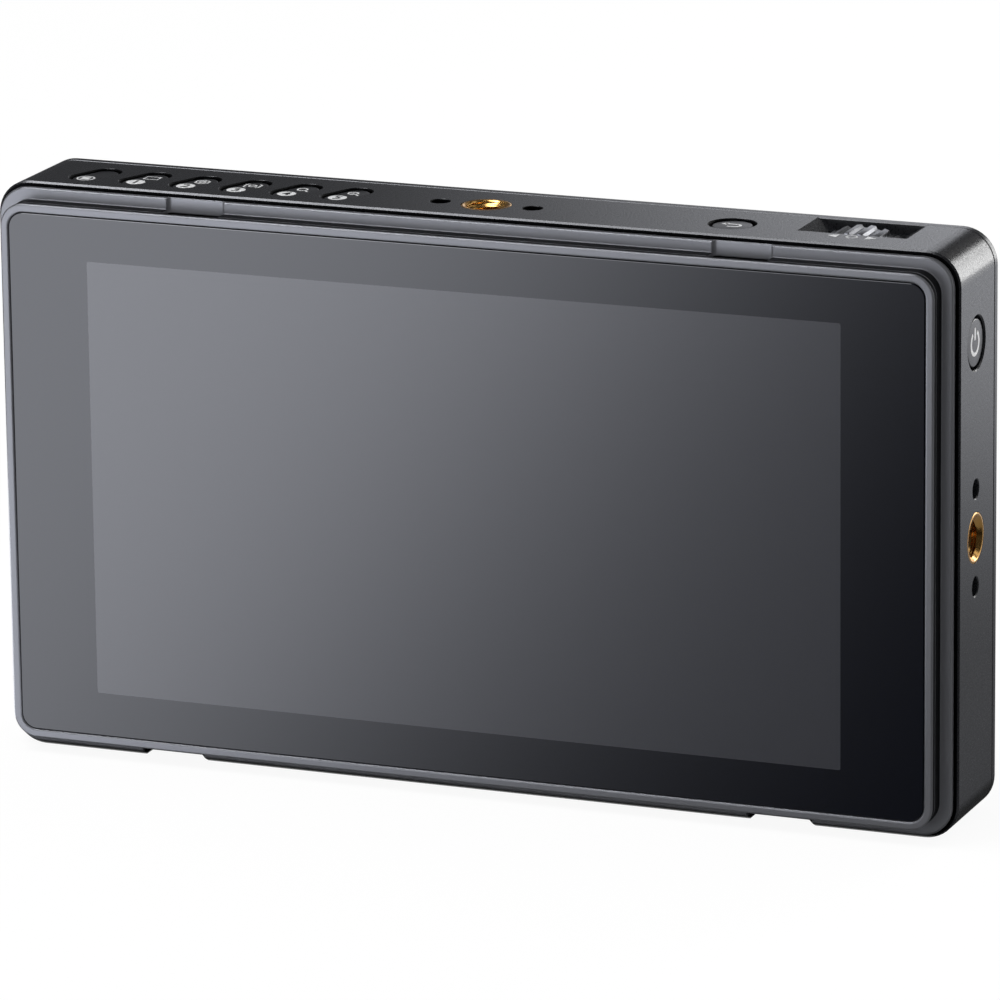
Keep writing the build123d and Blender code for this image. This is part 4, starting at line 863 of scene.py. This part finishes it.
class MONITOR_OT_stage(bpy.types.Operator):
    """Floor, room light, soft lights, the lit sheets that mirrors show, and the camera"""

    bl_idname = "monitor.stage"
    bl_label = "Stage"

    def sheets(self, name, corners, made, mirrored=True):
        """Flat four-cornered sheets, seen only in mirrors or by everything."""
        mesh = bpy.data.meshes.new(name)
        points = np.asarray(corners, float).reshape(-1, 3)
        mesh.from_pydata(points.tolist(), [], np.arange(len(points)).reshape(-1, 4).tolist())
        mesh.materials.append(made)
        flat = linked(name, mesh)
        for ray in ("camera", "diffuse", "transmission", "shadow", "volume_scatter"):
            setattr(flat, f"visible_{ray}", not mirrored)

    def floor_paper(self, glow_share=0.9, glow=1.03):
        """Matt white paper that shows white to the camera and to mirrors, and keeps a soft
        shadow."""
        made, add = blank("white_paper")
        share = add("Math", {0: seen(add), 1: glow_share}, operation="MULTIPLY")
        matt = add("BsdfDiffuse", {"Color": linear("#f2f2f2")})
        lit = add("Emission", {"Color": (1, 1, 1, 1), "Strength": glow})
        both = add("MixShader", {0: share[0], 1: matt[0], 2: lit[0]})
        add("OutputMaterial", {"Surface": both[0]})
        return made

    def panel_light(self, strength, across=36.9, along=-6.84, spread=0.79, start=1.36):
        """A lit panel that fades to the right: strength / (1 + e^(s + start)), where s is
        (across x + along y) / (1 - spread y), so that the lines of equal light fan out."""
        made, add = blank("faded_panel")
        place = add("TexCoord")["Object"]
        split = add("SeparateXYZ", {0: place})
        side = add("Math", {0: split[0], 1: across}, operation="MULTIPLY")
        slope = add("Math", {0: split[1], 1: along, 2: side[0]}, operation="MULTIPLY_ADD")
        fan = add("Math", {0: split[1], 1: -spread, 2: 1.0}, operation="MULTIPLY_ADD")
        fanned = add("Math", {0: slope[0], 1: fan[0]}, operation="DIVIDE")
        power = add("Math", {0: fanned[0], 1: start}, operation="ADD")
        grown = add("Math", {0: power[0]}, operation="EXPONENT")
        below = add("Math", {0: grown[0], 1: 1.0}, operation="ADD")
        level = add("Math", {0: strength, 1: below[0]}, operation="DIVIDE")
        lit = add("Emission", {"Color": linear("#f2f5ff"), "Strength": level[0]})
        add("OutputMaterial", {"Surface": lit[0]})
        return made

    def fading_light(self, name, axis, ends, levels):
        """A sheet whose light changes smoothly from one level to another along an axis,
        between two places in metres."""
        made, add = blank(name)
        place = add("TexCoord")["Object"]
        split = add("SeparateXYZ", {0: place})
        level = add("MapRange", {
            "Value": split[axis], "From Min": ends[0], "From Max": ends[1],
            "To Min": levels[0], "To Max": levels[1]}, interpolation_type="SMOOTHSTEP")
        lit = add("Emission", {"Color": linear("#f6f8ff"), "Strength": level[0]})
        add("OutputMaterial", {"Surface": lit[0]})
        return made

    def plain_light(self, name, strength):
        """A sheet that is evenly lit, or nearly black as a flag that keeps the room out of
        mirrors."""
        made, add = blank(name)
        lit = add("Emission", {"Color": (1, 1, 1, 1), "Strength": strength})
        add("OutputMaterial", {"Surface": lit[0]})
        return made

    def mirrored_room(self, strength):
        """Lit sheets and dark flags, in metres, that only mirrors show. They give the glass its
        fade, and the frame and the housing their bright and dark sides."""
        left, right, front, back, ceiling, lip = -1.6, 0.5, -1.6, 0.42, 1.1, 0.26
        # the floor in front, which the glass mirrors, and a strip of it on the left
        self.sheets("panel", [
            lying((-1.2, 1.2), (-1.5, -0.016), 0.0005),
            lying((-0.22, -0.085), (-0.016, 0.12), 0.0005),
        ], self.panel_light(strength))
        # dark cloth on every side and on the floor beside the monitor
        self.sheets("flags", [
            standing((right, right), (front, 0.2), (0, ceiling)),
            lying((left, right), (front, 0.4), ceiling),
            standing((left, right), (front, front), (0, ceiling)),
            standing((left, left), (front, 0.4), (0, ceiling)),
            lying((left, -0.22), (-0.016, 0.4), 0.0004),
            lying((-0.085, 0.081), (-0.016, 0.05), 0.0004),
            standing((0.0, 0.18), (back, back), (0, ceiling)),
            standing((0.18, right), (back, back), (lip, ceiling)),
            standing((-0.14, 0.0), (back, back), (lip, ceiling)),
        ], self.plain_light("black_flag_cloth", 0.05))
        # a paler cloth behind on the left
        self.sheets("grey_flags", [
            standing((left, -0.14), (back, back), (lip, ceiling)),
        ], self.plain_light("grey_flag_cloth", 0.1))
        # a low light behind, brighter to the right
        self.sheets("back_panel", [
            standing((left, 0.0), (back, back), (0, lip)),
        ], self.fading_light("faded_back_panel", 0, (-0.22, -0.02), (0.1, 1.5)))
        # the floor on the right, brighter to the back
        self.sheets("side_floor", [
            lying((0.081, 0.7), (-0.2, 0.7), 0.0004),
        ], self.fading_light("faded_side_floor", 1, (0.08, 0.36), (0.25, 1.3)))
        # a small bright sheet behind on the right
        self.sheets("rim_panel", [
            standing((0.19, 0.36), (0.41, 0.41), (0.04, 0.2)),
        ], self.plain_light("lit_rim_panel", 6.0))
        # a strip overhead on the left
        self.sheets("overhead_strip", [
            lying((-0.6, -0.05), (-0.4, -0.05), 0.85),
        ], self.fading_light("faded_strip", 0, (-0.42, -0.2), (14.0, 6.0)))
        # far in front, low down
        self.sheets("far_panel", [
            lying((-1.5, 0.4), (-1.55, -0.5), 0.001),
            standing((-1.5, 0.4), (-1.55, -1.55), (0.001, 0.4)),
        ], self.fading_light("faded_far_panel", 0, (-0.7, 0.1), (6.0, 2.0)))

    def room(self, sky):
        """An even room, white to the camera and to mirrors and dimmer as a light."""
        world = bpy.data.worlds.new("room")
        world.use_nodes = True
        world.node_tree.nodes.clear()
        add = partial(node, world.node_tree)
        level = add("MapRange", {"Value": seen(add), "To Min": sky, "To Max": 1.0})
        even = add("Background", {"Color": (1, 1, 1, 1), "Strength": level[0]})
        add("OutputWorld", {"Surface": even[0]})
        return world

    def lamp(self, name, size, power, place, turn):
        """A square soft light, which shines along its own -Z."""
        light = bpy.data.lights.new(name, "AREA")
        light.shape, light.size, light.energy = "SQUARE", size, power
        made = linked(name, light)
        made.location, made.rotation_euler = place, turn

    def execute(self, context):
        scene = context.scene
        stage = scene.monitor_stage
        self.sheets("floor", [lying((-4, 4), (-4, 4), 0)], self.floor_paper(), mirrored=False)
        self.mirrored_room(stage.panel_light)
        scene.world = self.room(stage.sky)
        self.lamp("top_light", 0.5, stage.top_light, (-0.3, -0.25, 0.9), (0.27, -0.32, 0))
        self.lamp("edge_light", 0.3, stage.edge_light, (0.33, 0.9, 0.42),
                  (np.radians(-68), 0, np.radians(-20)))
        # a long lens, in front on the right and a little above
        camera = linked("camera", bpy.data.cameras.new("camera"))
        camera.data.lens = stage.lens
        camera.data.sensor_width = 36
        camera.data.clip_end = 20
        camera.location = (0.41822, -1.03208, 0.33998)
        camera.rotation_euler = (1.310531, 0.011123, 0.381272)
        scene.camera = camera
        scene.view_settings.view_transform = "Standard"
        return {"FINISHED"}


# ---- add-on ----

class MONITOR_PT_panel(bpy.types.Panel):
    """Lists the settings and the steps in their order"""

    bl_label = "Monitor"
    bl_space_type = "VIEW_3D"
    bl_region_type = "UI"
    bl_category = "Monitor"

    def draw(self, context):
        for name, group in GROUPS:
            box = self.layout.box()
            for setting in group.__annotations__:
                box.prop(getattr(context.scene, name), setting)
        for step in STEPS:
            self.layout.operator(step.bl_idname)


STEPS = (
    MONITOR_OT_shell, MONITOR_OT_inside, MONITOR_OT_glass, MONITOR_OT_caps, MONITOR_OT_marks,
    MONITOR_OT_threads, MONITOR_OT_wheel, MONITOR_OT_sockets, MONITOR_OT_stage,
)
GROUPS = (
    ("monitor_colours", MonitorColours),
    ("monitor_sizes", MonitorSizes),
    ("monitor_stage", MonitorStage),
)


def register():
    for name, group in GROUPS:
        bpy.utils.register_class(group)
        setattr(bpy.types.Scene, name, PointerProperty(type=group))
    for one in (*STEPS, MONITOR_PT_panel):
        bpy.utils.register_class(one)


def unregister():
    for one in (MONITOR_PT_panel, *reversed(STEPS)):
        bpy.utils.unregister_class(one)
    for name, group in reversed(GROUPS):
        delattr(bpy.types.Scene, name)
        bpy.utils.unregister_class(group)


def main():
    register()
    for step in STEPS:
        group, name = step.bl_idname.split(".")
        getattr(getattr(bpy.ops, group), name)()


if __name__ == "__main__":
    main()
